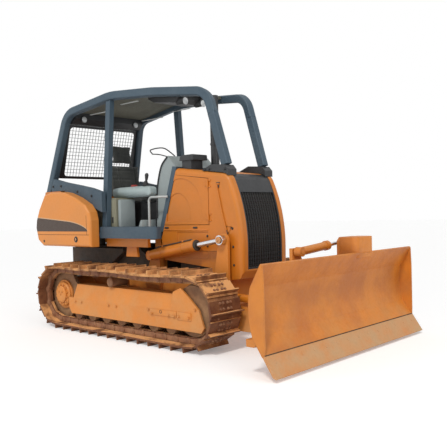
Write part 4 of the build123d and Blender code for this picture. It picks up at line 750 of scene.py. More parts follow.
class Shape:
    """A mesh under construction, in metres from midway between the axles."""

    def __init__(self) -> None:
        """Start empty."""
        self.mesh = bmesh.new()

    def prism(
        self, outline: Iterable[tuple[float, float]], low: float, high: float, plane: str = "xz",
        bevel: float = 0.0
    ) -> Shape:
        """Add an outline with a thickness.

        Args:
            outline: The outline's corners in its plane.
            low: Where it starts, across the plane.
            high: Where it ends.
            plane: The plane's two axes.
            bevel: Width of its rounded edges.

        Returns:
            This shape.
        """
        first, second, third = PLANES[plane]
        rows = []
        for level in (low, high):
            row = []
            for a, b in outline:
                place = [0.0, 0.0, 0.0]
                place[first], place[second], place[third] = a, b, level
                row.append(self.mesh.verts.new(place))
            rows.append(row)
        count = len(rows[0])
        faces = [self.mesh.faces.new(rows[0]), self.mesh.faces.new(rows[1])]
        for i in range(count):
            j = (i + 1) % count
            faces.append(self.mesh.faces.new((rows[0][i], rows[0][j], rows[1][j], rows[1][i])))
        bmesh.ops.recalc_face_normals(self.mesh, faces=faces)
        if bevel:
            edges = list({edge for face in faces for edge in face.edges})
            bmesh.ops.bevel(
                self.mesh, geom=edges, offset=bevel, segments=2, profile=0.5, affect="EDGES",
                clamp_overlap=True
            )
        return self

    def block(self, low: Point, high: Point, bevel: float = 0.006) -> Shape:
        """Add a block with rounded edges.

        Args:
            low: Lowest corner.
            high: Highest corner.
            bevel: Width of its rounded edges.

        Returns:
            This shape.
        """
        outline = [(low[0], low[2]), (high[0], low[2]), (high[0], high[2]), (low[0], high[2])]
        return self.prism(outline, low[1], high[1], "xz", bevel)

    def tube(
        self, path: Sequence[Point], radius: float, sides: int = 10, steps: int = 6, closed: bool = False
    ) -> Shape:
        """Add a round bar along a smooth path.

        Args:
            path: Points that it passes.
            radius: Its radius.
            sides: Sides of its section.
            steps: Straight pieces between two points, or 0 for straight runs.
            closed: Whether its ends meet.

        Returns:
            This shape.
        """
        if closed:
            line = smooth_path([path[-1], *path, path[0], path[1]], steps)[steps:-steps - 1]
        else:
            line = smooth_path(path, steps) if steps else [Vector(point) for point in path]
        rings = []
        across = Vector((0, 0, 1)) if abs((line[1] - line[0]).normalized().z) < 0.9 else Vector((1, 0, 0))
        for i, point in enumerate(line):
            before = line[i - 1] if i or closed else point
            after = line[(i + 1) % len(line)] if i < len(line) - 1 or closed else point
            ahead = (after - before).normalized()
            across = (across - ahead * across.dot(ahead)).normalized()
            other = ahead.cross(across)
            turns = [2 * math.pi * k / sides for k in range(sides)]
            rings.append(
                [
                    self.mesh.verts.new(
                        point + (across * math.cos(t) + other * math.sin(t)) * radius
                    ) for t in turns
                ]
            )
        pairs = list(zip(rings, rings[1:])) + ([(rings[-1], rings[0])] if closed else [])
        faces = []
        for one, two in pairs:
            for k in range(sides):
                faces.append(
                    self.mesh.faces.new((one[k], one[(k + 1) % sides], two[(k + 1) % sides], two[k]))
                )
        if not closed:
            faces += [self.mesh.faces.new(rings[0]), self.mesh.faces.new(rings[-1])]
        bmesh.ops.recalc_face_normals(self.mesh, faces=faces)
        return self

    def turned(
        self, profile: Sequence[tuple[float, float]], centre: Point, axis: Point = (0, 0, 1),
        sides: int = 24
    ) -> Shape:
        """Add a turned form, whose profile starts and ends on its axis.

        Args:
            profile: Radius and height pairs.
            centre: Foot of its axis.
            axis: Direction of its axis.
            sides: Sides round the axis.

        Returns:
            This shape.
        """
        turn = Vector((0, 0, 1)).rotation_difference(Vector(axis)).to_matrix()
        base = Vector(centre)
        rings = []
        for radius, height in profile:
            if radius < 1e-6:
                rings.append([self.mesh.verts.new(base + turn @ Vector((0, 0, height)))])
                continue
            angles = [2 * math.pi * k / sides for k in range(sides)]
            rings.append(
                [
                    self.mesh.verts.new(
                        base + turn @ Vector((radius * math.cos(a), radius * math.sin(a), height))
                    ) for a in angles
                ]
            )
        faces = []
        for one, two in zip(rings, rings[1:]):
            for k in range(sides):
                corners = [
                    one[k % len(one)], one[(k + 1) % len(one)], two[(k + 1) % len(two)], two[k % len(two)]
                ]
                corners = list(dict.fromkeys(corners))
                if len(corners) > 2:
                    faces.append(self.mesh.faces.new(corners))
        bmesh.ops.recalc_face_normals(self.mesh, faces=faces)
        return self

    def mirrored(self) -> Shape:
        """Add the same shape on the machine's other side."""
        copy = bmesh.ops.duplicate(
            self.mesh, geom=self.mesh.verts[:] + self.mesh.edges[:] + self.mesh.faces[:]
        )["geom"]
        verts = [item for item in copy if isinstance(item, bmesh.types.BMVert)]
        for vert in verts:
            vert.co.y = -vert.co.y
        faces = [item for item in copy if isinstance(item, bmesh.types.BMFace)]
        bmesh.ops.reverse_faces(self.mesh, faces=faces)
        return self

    def place(
        self, name: str, look: Finish | Cloth, body: Body = Body.TRACTOR, sharp: float = 35.0
    ) -> bpy.types.Object:
        """Turn the shape into a piece of the machine.

        Args:
            name: The piece's name.
            look: Its finish.
            body: The body that it rides on.
            sharp: Angle in degrees past which an edge stays sharp.

        Returns:
            The piece.
        """
        data = bpy.data.meshes.new(name)
        bmesh.ops.translate(self.mesh, verts=self.mesh.verts, vec=(MIDDLE_X, 0, 0))
        self.mesh.to_mesh(data)
        self.mesh.free()
        return hang(name, data, look, body, sharp)


def hang(
    name: str, data: bpy.types.Mesh, look: Finish | Cloth, body: Body = Body.TRACTOR, sharp: float = 35.0
) -> bpy.types.Object:
    """Make a piece of a finished mesh and hang it on its body.

    Args:
        name: The piece's name.
        data: Its mesh, in place.
        look: Its finish.
        body: The body that it rides on.
        sharp: Angle in degrees past which an edge stays sharp.

    Returns:
        The piece.
    """
    data.shade_smooth()
    data.set_sharp_from_angle(angle=math.radians(sharp))
    data.materials.clear()
    data.materials.append(material(look))
    made = bpy.data.objects.new(name, data)
    bpy.context.scene.collection.objects.link(made)
    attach(made, body.value)
    LOG.info("%s: %d faces", name, len(data.polygons))
    return made


class Recipe:
    """A Geometry Nodes tree with named inputs, run on a mesh and then baked into it."""

    def __init__(self, name: str, inputs: dict[str, tuple[str, object]]) -> None:
        """Make the tree's sockets.

        Args:
            name: The tree's name.
            inputs: Socket type and default of each input, by name.
        """
        self.group = bpy.data.node_groups.new(name, "GeometryNodeTree")
        self.group.interface.new_socket("Geometry", in_out="INPUT", socket_type="NodeSocketGeometry")
        for key, (kind, value) in inputs.items():
            made = self.group.interface.new_socket(key, in_out="INPUT", socket_type=kind)
            if value is not None:
                made.default_value = value
        self.group.interface.new_socket("Finish", in_out="INPUT", socket_type="NodeSocketMaterial")
        self.group.interface.new_socket("Geometry", in_out="OUTPUT", socket_type="NodeSocketGeometry")
        self.tree = Tree(self.group)
        self.given = self.tree.node("NodeGroupInput").outputs
        self.out = self.tree.node("NodeGroupOutput")

    def end(self, geometry: bpy.types.NodeSocket) -> None:
        """Realize the instances, set the finish and lead the result out.

        Args:
            geometry: The tree's result.
        """
        real = self.tree.feed(self.tree.node("GeometryNodeRealizeInstances"), Geometry=geometry)
        dressed = self.tree.feed(
            self.tree.node("GeometryNodeSetMaterial"), Geometry=real.outputs[0],
            Material=self.given["Finish"]
        )
        self.tree.feed(self.out, Geometry=dressed.outputs[0])

    def instances(self, shape: bpy.types.NodeSocket, turn: bpy.types.NodeSocket) -> bpy.types.NodeSocket:
        """Put a shape on each of the mesh's points.

        Args:
            shape: The shape.
            turn: Its rotation.

        Returns:
            The instances.
        """
        spots = self.tree.feed(self.tree.node("GeometryNodeMeshToPoints"), Mesh=self.given["Geometry"])
        made = self.tree.node("GeometryNodeInstanceOnPoints")
        return self.tree.feed(made, Points=spots.outputs[0], Instance=shape, Rotation=turn).outputs[0]

    def attribute(self, name: str) -> bpy.types.NodeSocket:
        """Read a vector that each point carries.

        Args:
            name: The attribute's name.

        Returns:
            Its value.
        """
        made = self.tree.node("GeometryNodeInputNamedAttribute", data_type="FLOAT_VECTOR")
        return self.tree.feed(made, Name=name).outputs[0]

    def moved(self, shape: bpy.types.NodeSocket, **ways: object) -> bpy.types.NodeSocket:
        """Move and turn a shape.

        Args:
            shape: The shape.
            **ways: Translation, Rotation or Scale.

        Returns:
            The moved shape.
        """
        return self.tree.feed(self.tree.node("GeometryNodeTransform"), Geometry=shape, **ways).outputs[0]

    def drum(self, sides: int, radius: object, depth: object) -> bpy.types.NodeSocket:
        """Add a cylinder along Z about its middle.

        Args:
            sides: Its sides.
            radius: Its radius.
            depth: Its length.

        Returns:
            The cylinder.
        """
        return self.tree.feed(
            self.tree.node("GeometryNodeMeshCylinder"), Vertices=sides, Radius=radius, Depth=depth
        ).outputs[0]

    def join(self, *shapes: bpy.types.NodeSocket) -> bpy.types.NodeSocket:
        """Join shapes.

        Args:
            *shapes: The shapes.

        Returns:
            Their joined geometry.
        """
        made = self.tree.node("GeometryNodeJoinGeometry")
        for shape in shapes:
            self.tree.tree.links.new(shape, made.inputs[0])
        return made.outputs[0]

    def offset(self, x: object = 0.0, y: object = 0.0, z: object = 0.0) -> bpy.types.NodeSocket:
        """Join three numbers to a vector.

        Args:
            x: First number.
            y: Second number.
            z: Third number.

        Returns:
            The vector.
        """
        return self.tree.feed(self.tree.node("ShaderNodeCombineXYZ"), X=x, Y=y, Z=z).outputs[0]

    def run(
        self, name: str, data: bpy.types.Mesh, look: Finish, body: Body = Body.TRACTOR, **values: float
    ) -> bpy.types.Object:
        """Run the tree on a mesh and hang the result on a body.

        Args:
            name: The piece's name.
            data: The mesh that the tree starts from.
            look: The piece's finish.
            body: The body that it rides on.
            **values: Input values by name, with _ for a space.

        Returns:
            The piece.
        """
        maker = bpy.data.objects.new(name + "_maker", data)
        bpy.context.scene.collection.objects.link(maker)
        change = maker.modifiers.new(self.group.name, "NODES")
        change.node_group = self.group
        wanted = {
            key.replace("_", " "): value for key, value in values.items()
        } | {"Finish": material(look)}
        for item in self.group.interface.items_tree:
            if item.in_out == "INPUT" and item.name in wanted:
                change[item.identifier] = wanted[item.name]
        result = bpy.data.meshes.new_from_object(maker.evaluated_get(bpy.context.evaluated_depsgraph_get()))
        maker.modifiers.remove(change)
        bpy.data.objects.remove(maker)
        result.name = name
        return hang(name, result, look, body)


def spots_mesh(spots: Sequence[tuple[Point, Point]], key: str) -> bpy.types.Mesh:
    """Mesh of loose points, each with a vector.

    Args:
        spots: Place and vector of each point.
        key: Name of the vector's attribute.

    Returns:
        The mesh.
    """
    data = bpy.data.meshes.new("spots")
    data.from_pydata([(x + MIDDLE_X, y, z) for (x, y, z), _ in spots], [], [])
    layer = data.attributes.new(key, "FLOAT_VECTOR", "POINT")
    for item, (_, vector) in zip(layer.data, spots):
        item.vector = vector
    return data


class HexHeads(Recipe):
    """Hex heads with a washer, standing on points along their axes."""

    def __init__(self) -> None:
        """Build the tree."""
        numbers = {
            "Head Radius": 0.012, "Head Height": 0.010, "Washer Radius": 0.017, "Washer Height": 0.003
        }
        super().__init__("hex_heads", {key: ("NodeSocketFloat", value) for key, value in numbers.items()})
        tree, given = self.tree, self.given
        washer = self.moved(
            self.drum(12, given["Washer Radius"], given["Washer Height"]),
            Translation=self.offset(z=tree.math("MULTIPLY", given["Washer Height"], 0.5)),
        )
        head_middle = tree.math(
            "ADD", given["Washer Height"], tree.math("MULTIPLY", given["Head Height"], 0.4)
        )
        body = self.moved(
            self.drum(6, given["Head Radius"], tree.math("MULTIPLY", given["Head Height"], 0.8)),
            Translation=self.offset(z=head_middle),
        )
        cap = tree.feed(
            tree.node("GeometryNodeMeshCone"), Vertices=6,
            Radius_Top=tree.math("MULTIPLY", given["Head Radius"], 0.82),
            Radius_Bottom=given["Head Radius"], Depth=tree.math("MULTIPLY", given["Head Height"], 0.2),
        ).outputs[0]
        top = tree.math("ADD", given["Washer Height"], tree.math("MULTIPLY", given["Head Height"], 0.8))
        head = self.join(washer, body, self.moved(cap, Translation=self.offset(z=top)))
        turn = tree.feed(
            tree.node("FunctionNodeAlignRotationToVector", axis="Z"), Vector=self.attribute("axis")
        )
        self.end(self.instances(head, turn.outputs[0]))


class WireNet(Recipe):
    """Round wires along every edge of a mesh."""

    def __init__(self) -> None:
        """Build the tree."""
        super().__init__("wire_net", {"Wire Radius": ("NodeSocketFloat", 0.0015)})
        tree, given = self.tree, self.given
        curve = tree.feed(tree.node("GeometryNodeMeshToCurve"), Mesh=given["Geometry"])
        ring = tree.feed(
            tree.node("GeometryNodeCurvePrimitiveCircle"), Resolution=4, Radius=given["Wire Radius"]
        )
        wires = tree.feed(
            tree.node("GeometryNodeCurveToMesh"), Curve=curve.outputs[0], Profile_Curve=ring.outputs[0],
            Fill_Caps=True
        )
        self.end(wires.outputs[0])


class ChainLinks(Recipe):
    """Track links on their bushing points, each turned to its chord."""

    def __init__(self) -> None:
        """Build the tree."""
        numbers = {
            "Pitch": 0.166, "Eye Radius": 0.033, "Plate": 0.012, "Waist": 0.046, "Gauge": 0.182,
            "Pin Radius": 0.016,
            "Bushing Radius": 0.0254, "Bushing Length": 0.106,
        }
        super().__init__("chain_links", {key: ("NodeSocketFloat", value) for key, value in numbers.items()})
        tree, given = self.tree, self.given
        upright = (math.pi / 2, 0.0, 0.0)
        bushing = self.moved(
            self.drum(16, given["Bushing Radius"], given["Bushing Length"]), Rotation=upright
        )
        pin_length = tree.math("ADD", given["Gauge"], tree.math("MULTIPLY", given["Plate"], 2.6))
        pin = self.moved(self.drum(12, given["Pin Radius"], pin_length), Rotation=upright)
        parts = [bushing, pin]
        for side in Side:
            for along, share in ((0.0, 1.5), (1.0, 0.9)):
                eye = self.drum(16, given["Eye Radius"], tree.math("MULTIPLY", given["Plate"], share))
                y = tree.math(
                    "MULTIPLY",
                    tree.math("ADD", given["Gauge"], tree.math("MULTIPLY", given["Plate"], share - 1)),
                    side.value / 2
                )
                parts.append(
                    self.moved(
                        eye, Rotation=upright,
                        Translation=self.offset(tree.math("MULTIPLY", given["Pitch"], along), y)
                    )
                )
            size = self.offset(
                tree.math("MULTIPLY", given["Pitch"], 0.94), tree.math("MULTIPLY", given["Plate"], 0.8),
                given["Waist"]
            )
            waist = tree.feed(tree.node("GeometryNodeMeshCube"), Size=size).outputs[0]
            middle = self.offset(
                tree.math("MULTIPLY", given["Pitch"], 0.5),
                tree.math("MULTIPLY", given["Gauge"], side.value / 2)
            )
            parts.append(self.moved(waist, Translation=middle))
        turn = tree.feed(tree.node("FunctionNodeEulerToRotation"), Euler=self.attribute("turn")).outputs[0]
        self.end(self.instances(self.join(*parts), turn))


class Studs(Recipe):
    """Low lozenge studs of a tread plate on points, alternately turned."""

    def __init__(self) -> None:
        """Build the tree."""
        numbers = {"Length": 0.013, "Height": 0.0018}
        super().__init__("tread_studs", {key: ("NodeSocketFloat", value) for key, value in numbers.items()})
        tree, given = self.tree, self.given
        stud = tree.feed(
            tree.node("GeometryNodeMeshCone"), Vertices=8,
            Radius_Top=tree.math("MULTIPLY", given["Length"], 0.55),
            Radius_Bottom=given["Length"], Depth=given["Height"],
        ).outputs[0]
        flat = self.moved(stud, Scale=(1.0, 0.32, 1.0))
        turn = tree.feed(tree.node("FunctionNodeEulerToRotation"), Euler=self.attribute("turn")).outputs[0]
        self.end(self.instances(flat, turn))


# ---- undercarriage ------------------------------------------------------------------------------


@dataclass
class Chain:
    """The track's own small pieces: links, pins and shoe bolts.

    Args:
        axle_distance: Between sprocket and idler.
        axle_height: Height of both axles.
        radius: Bushing line round the sprocket and the idler.
        shoes: Shoes in one track.
        gauge_half: From the machine's middle to a track's middle.
        carrier_x: The carrier roller, where the upper run is held up.
        sag: How far the upper run hangs in front of and behind the carrier roller.
        shoe_rise: From the bushing line to a shoe's face.
        bolt_along: Bolts along a shoe, as shares of the pitch.
        bolt_across: Bolts across a shoe, from the track's middle.
    """

    axle_distance: float = 2.24
    axle_height: float = 0.380
    radius: float = 0.290
    shoes: int = 38
    gauge_half: float = 0.7275
    carrier_x: float = -0.130
    sag: tuple[float, float] = (0.016, 0.009)
    shoe_rise: float = 0.048
    bolt_along: tuple[float, float] = (0.46, 0.80)
    bolt_across: tuple[float, ...] = (-0.07, -0.03, 0.03, 0.07)

    def _point(self, distance: float) -> tuple[float, float]:
        """Point of the bushing line.

        Args:
            distance: From the rear end of the ground run.

        Returns:
            Its x and z.
        """
        half_turn, half = math.pi * self.radius, self.axle_distance / 2
        if distance < self.axle_distance:
            return -half + distance, self.axle_height - self.radius
        distance -= self.axle_distance
        if distance < half_turn:
            angle = distance / self.radius - math.pi / 2
            return half + self.radius * math.cos(angle), self.axle_height + self.radius * math.sin(angle)
        distance -= half_turn
        if distance < self.axle_distance:
            x = half - distance
            ahead = x > self.carrier_x
            near, far, sag = (half, self.carrier_x, self.sag[0]) if ahead else (
                self.carrier_x, -half, self.sag[1]
            )
            share = (near - x) / (near - far)
            return x, self.axle_height + self.radius - sag * (1 - math.cos(2 * math.pi * share)) / 2
        distance -= self.axle_distance
        angle = distance / self.radius + math.pi / 2
        return -half + self.radius * math.cos(angle), self.axle_height + self.radius * math.sin(angle)

    def build(self) -> None:
        """Make the links and the bolts of both tracks."""
        pitch = (2 * self.axle_distance + 2 * math.pi * self.radius) / self.shoes
        points = [self._point(i * pitch) for i in range(self.shoes)]
        links, bolts = ChainLinks(), HexHeads()
        for side in Side:
            word = side.name.lower()
            y = self.gauge_half * side.value
            turns, heads = [], []
            for i, (x, z) in enumerate(points):
                next_x, next_z = points[(i + 1) % self.shoes]
                along = Vector((next_x - x, 0, next_z - z))
                outward = Vector((along.z, 0, -along.x)).normalized()
                turns.append(((x, y, z), (0.0, -math.atan2(along.z, along.x), 0.0)))
                for share in self.bolt_along:
                    foot = Vector((x, y, z)) + along * share + outward * self.shoe_rise
                    heads += [
                        ((foot.x, foot.y + across, foot.z), tuple(outward)) for across in self.bolt_across
                    ]
            links.run(
                f"chain_links_{word}", spots_mesh(turns, "turn"), CHAIN,
                Pitch=pitch
            )
            bolts.run(
                f"shoe_bolts_{word}", spots_mesh(heads, "axis"), CHAIN,
                Head_Radius=0.0125, Head_Height=0.011, Washer_Radius=0.016, Washer_Height=0.002,
            )


@dataclass
class FrameTrim:
    """Plates, plugs and bolts on the track frames, hubs and rollers.

    Args:
        face_y: Outer face of a track frame.
        hub_x: The hubs' middle.
        hub_face_y: Outer face of a hub's cover.
        axle_height: Height of the hubs' middle.
        hub_bolts: Bolts round a hub's cover.
        pairs: Places x, z of the bolts along a frame's face.
    """

    face_y: float = 0.8595
    hub_x: float = -1.12
    hub_face_y: float = 0.800
    axle_height: float = 0.380
    hub_bolts: int = 12
    pairs: tuple[tuple[float, float], ...] = (
        (-0.76, 0.330), (-0.64, 0.330), (-0.14, 0.335), (-0.01, 0.335), (0.516, 0.350), (1.180, 0.400),
    )

    def build(self) -> None:
        """Make the trim on both sides."""
        cover = Shape()
        for low_x, high_x, low_z, high_z in ((0.545, 0.925, 0.305, 0.366), (0.935, 1.125, 0.290, 0.366)):
            cover.block((low_x, -self.face_y - 0.008, low_z), (high_x, -self.face_y + 0.003, high_z), 0.003)
        cover.mirrored().place("frame_covers", FRAME_PAINT)
        hole = Shape()
        hole.turned(
            ((0, 0), (0.017, 0), (0.017, 0.0105), (0.013, 0.0105), (0.012, 0.004), (0, 0.004)),
            (0.705, -self.face_y, 0.345), (0, -1, 0)
        )
        hole.mirrored().place("grease_holes", IRON)
        heads = [((x, -self.face_y, z), (0, -1, 0)) for x, z in self.pairs]
        heads += [((x, -self.face_y - 0.008, 0.318), (0, -1, 0)) for x in (0.575, 0.821, 0.90, 0.96, 1.10)]
        for i in range(self.hub_bolts):
            turn = 2 * math.pi * (i + 0.5) / self.hub_bolts
            place = (
                self.hub_x + 0.113 * math.cos(turn), -self.hub_face_y + 0.001,
                self.axle_height + 0.113 * math.sin(turn)
            )
            heads.append((place, (0, -1, 0)))
        heads += [((x, -y, z), (0, 1, 0)) for (x, y, z), _ in heads]
        HexHeads().run(
            "frame_bolts", spots_mesh(heads, "axis"), FRAME_PAINT,
            Head_Radius=0.011
        )
        plug = Shape()
        for along, up in ((0.0, 0.0), (0.035, 0.028), (-0.03, 0.03)):
            place = (self.hub_x + along, -self.hub_face_y - 0.0255, self.axle_height + up)
            plug.turned(
                (
                    (0, 0), (0.011, 0), (0.011, 0.006), (0.009, 0.008), (0.004, 0.008), (0.004, 0.003),
                    (0, 0.003)
                ),
                place, (0, -1, 0), 12
            )
        plug.mirrored().place("hub_plugs", FRAME_PAINT)


# ---- hood ---------------------------------------------------------------------------------------


@dataclass
class Hood:
    """Grille net, props, latches, seams and bolts on the engine's housing.

    Args:
        side_y: The housing's side.
        front: Three points x, z of the nose's bowed front, from its brow down.
        net_half: Half the net's width.
        net_z: Lower and upper edge of the net.
        net_inset: How far the net lies inside the nose's front.
        cell: Size of the net's six-sided cells.
    """

    side_y: float = 0.360
    front: tuple[tuple[float, float], ...] = ((1.184, 1.630), (1.296, 1.305), (1.334, 0.930))
    net_half: float = 0.256
    net_z: tuple[float, float] = (0.748, 1.494)
    net_inset: float = 0.020
    cell: float = 0.0215

    def _front_x(self, z: float) -> float:
        """Where the bowed front is at a height.

        Args:
            z: The height.

        Returns:
            The front's x there.
        """
        (x0, z0), (x1, z1), (x2, z2) = self.front
        if z < z2:
            return x2 - (z2 - z) * 0.0187
        low = (z - z1) * (z - z2) / ((z0 - z1) * (z0 - z2)) * x0
        mid = (z - z0) * (z - z2) / ((z1 - z0) * (z1 - z2)) * x1
        high = (z - z0) * (z - z1) / ((z2 - z0) * (z2 - z1)) * x2
        return low + mid + high

    def _net(self) -> None:
        """Six-sided wire net behind the grille's bars, and a dark sheet behind it as painted shade."""
        data = bpy.data.meshes.new("net")
        known: dict[tuple[int, int], int] = {}
        places: list[Point] = []
        edges: list[tuple[int, int]] = []
        side = self.cell / math.sqrt(3)
        rows = int((self.net_z[1] - self.net_z[0]) / (1.5 * side))
        columns = int(2 * self.net_half / self.cell)

        def corner(y: float, z: float) -> int:
            """Index of the net's corner at a place."""
            key = (round(y / (self.cell / 4)), round(z / (side / 4)))
            if key not in known:
                known[key] = len(places)
                places.append((self._front_x(z) - self.net_inset + MIDDLE_X, y, z))
            return known[key]

        for row in range(rows):
            z = self.net_z[0] + side + row * 1.5 * side
            for column in range(columns):
                y = -self.net_half + self.cell * (column + 0.5 + 0.5 * (row % 2))
                ring = [(y, z + side), (y + self.cell / 2, z + side / 2), (y + self.cell / 2, z - side / 2),
                        (y, z - side), (y - self.cell / 2, z - side / 2), (y - self.cell / 2, z + side / 2)]
                if ring[1][0] > self.net_half or ring[0][1] > self.net_z[1]:
                    continue
                marks = [corner(*place) for place in ring]
                edges += [tuple(sorted(pair)) for pair in zip(marks, marks[1:] + marks[:1])]
        data.from_pydata(places, sorted(set(edges)), [])
        WireNet().run("grille_net", data, NET, Wire_Radius=0.0023)
        # Dark sheet behind the net: painted shade.
        shade_sheet = Shape()
        levels = [self.net_z[0] + (self.net_z[1] - self.net_z[0]) * i / 8 for i in range(9)]
        outline = [(self._front_x(z) - 0.036, z) for z in levels] + [
            (self._front_x(z) - 0.042, z) for z in reversed(levels)
        ]
        shade_sheet.prism(outline, -self.net_half, self.net_half, "xz")
        shade_sheet.place("grille_shade_sheet", SHADOW)

    def _props(self) -> None:
        """Slanted prop rod with its hook and its triangular wire catch on each side."""
        y = -self.side_y
        rod = Shape().tube(
            (
                (1.030, y - 0.010, 1.545), (1.060, y - 0.010, 1.420), (1.098, y - 0.010, 1.262),
                (1.142, y - 0.010, 1.118)
            ),
            0.0065
        )
        rod.tube(
            (
                (1.030, y - 0.010, 1.545), (1.033, y - 0.014, 1.573), (1.046, y - 0.010, 1.583),
                (1.052, y - 0.004, 1.572)
            ),
            0.0065
        )
        rod.mirrored().place("hood_props", PAINT)
        catch = Shape().tube(
            ((1.131, y - 0.006, 1.161), (1.208, y - 0.006, 1.152), (1.157, y - 0.006, 1.080)), 0.005,
            steps=1, closed=True
        )
        catch.block((1.020, y - 0.009, 1.588), (1.062, y + 0.002, 1.596), 0.002)
        catch.block((1.044, y - 0.009, 1.540), (1.052, y + 0.002, 1.590), 0.002)
        catch.mirrored().place("prop_catches", BLACK)

    def _seams(self) -> None:
        """Pressed ledge, drawn seams and the door's latches."""
        y = -self.side_y
        ledge = Shape().prism(
            ((0.205, 1.113), (0.885, 1.113), (0.885, 1.128), (0.211, 1.128)), y - 0.006, y + 0.002, "xz",
            0.003
        )
        ledge.mirrored().place("panel_ledges", PAINT)
        seam = Shape().prism(
            ((1.1445, 0.650), (1.1475, 0.650), (1.1395, 1.050), (1.1365, 1.050)), y - 0.0008, y + 0.002,
            "xz"
        )
        seam.prism(
            ((0.160, 0.905), (1.140, 0.905), (1.140, 0.9075), (0.160, 0.9075)), y - 0.0008, y + 0.002, "xz"
        )
        seam.mirrored().place("hood_seams", SHADOW)
        latch = Shape()
        for x, z in ((0.262, 1.1450), (0.700, 1.1450)):
            latch.block((x - 0.030, y - 0.008, z - 0.009), (x + 0.030, y + 0.001, z + 0.009), 0.004)
        latch.mirrored().place("door_latches", BLACK)
        heads = [
            ((x, y, z), (0, -1, 0)) for x,
            z in (
                (1.222, 0.957), (1.226, 0.778), (1.131, 0.824), (1.216, 1.136), (0.872, 0.960),
                (0.872, 1.060)
            )
        ]
        heads += [((x, -y_, z), (0, 1, 0)) for (x, y_, z), _ in heads]
        HexHeads().run(
            "hood_bolts", spots_mesh(heads, "axis"), IRON,
            Head_Radius=0.0085, Head_Height=0.007, Washer_Radius=0.013,
        )

    def _stack(self) -> None:
        """Clamp of the exhaust pipe, and a dark disc inside it for its soot and painted shade."""
        low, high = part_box("exhaust_stack")
        x, top = (low[0] + high[0]) / 2 - MIDDLE_X, high[2]
        clamp = Shape().turned(((0, 0), (0.0515, 0), (0.0515, 0.022), (0, 0.022)), (x, 0, 2.02))
        clamp.block((x - 0.062, -0.010, 2.022), (x - 0.048, 0.010, 2.040), 0.002)
        clamp.place("stack_clamp", BLACK)
        # Dark disc down the pipe: soot and painted shade.
        inner = Shape().turned(((0, 0), (0.040, 0), (0.040, 0.004), (0, 0.004)), (x, 0, top - 0.115))
        inner.place("stack_soot_and_shade", SHADOW)

    def build(self) -> None:
        """Make every piece of the hood."""
        self._net()
        self._props()
        self._seams()
        self._stack()


# ---- blade and its cylinders --------------------------------------------------------------------


@dataclass
class Blade:
    """Edge bolts, weld seam and the bracket's cover on the blade.

    Args:
        tip_x: The cutting edge's tip.
        half_width: Half the blade's width.
        edge_top: Upper edge x, z of the cutting edge's face.
        edge_low: Lower edge x, z of it.
        bolts: Flush bolts along the edge.
        cover_rear: From the tip back to the rear of the bracket's cover.
        cover_y: Sides of the bracket's cover.
        cover_z: Foot and top of it.
        corner: Radius of its front corners.
    """

    tip_x: float = 2.400
    half_width: float = 1.220
    edge_top: tuple[float, float] = (2.290, 0.192)
    edge_low: tuple[float, float] = (2.400, 0.030)
    bolts: int = 14
    cover_rear: float = 0.300
    cover_y: tuple[float, float] = (0.158, 0.482)
    cover_z: tuple[float, float] = (0.840, 1.036)
    corner: float = 0.060

    def _cover(self) -> None:
        """Closed cover of the tilt rod's bracket, round at its front corners."""
        (y0, y1), rear, reach = self.cover_y, self.tip_x - self.cover_rear, 0.120
        outline = [(rear, y0), (rear + reach, y0)]
        for side, centre_y in ((-1, y0 + self.corner), (1, y1 - self.corner)):
            turns = [math.pi / 2 * (i / 6 - (1 if side < 0 else 0)) for i in range(7)]
            outline += [
                (
                    rear + reach + self.corner * math.cos(t), centre_y + self.corner * math.sin(t)
                ) for t in turns
            ]
        outline += [(rear + reach, y1), (rear, y1)]
        outline = list(dict.fromkeys(outline))
        cover = Shape().prism(outline, *self.cover_z, "xy", 0.004)
        cover.place("bracket_cover", BLADE_PAINT, Body.BLADE)

    def build(self) -> None:
        """Make the pieces of the blade."""
        self._cover()
        (x0, z0), (x1, z1) = self.edge_top, self.edge_low
        down = Vector((x1 - x0, 0, z1 - z0)).normalized()
        out = Vector((-down.z, 0, down.x))
        seam = Shape()
        ends = [(x0 + 0.0005, y, z0 + 0.003) for y in (-self.half_width + 0.006, self.half_width - 0.006)]
        seam.tube(ends, 0.0035, 6, 0).place("edge_seam", SHADOW, Body.BLADE)
        bolts = Shape()
        step = 2 * (self.half_width - 0.09) / (self.bolts - 1)
        for i in range(self.bolts):
            foot = Vector((x0, -self.half_width + 0.09 + i * step, z0)) + down * 0.062
            bolts.turned(
                ((0, -0.002), (0.015, -0.002), (0.015, 0.0012), (0.008, 0.0022), (0, 0.0022)), foot, out, 14
            )
        bolts.place("edge_bolts", EDGE, Body.BLADE)


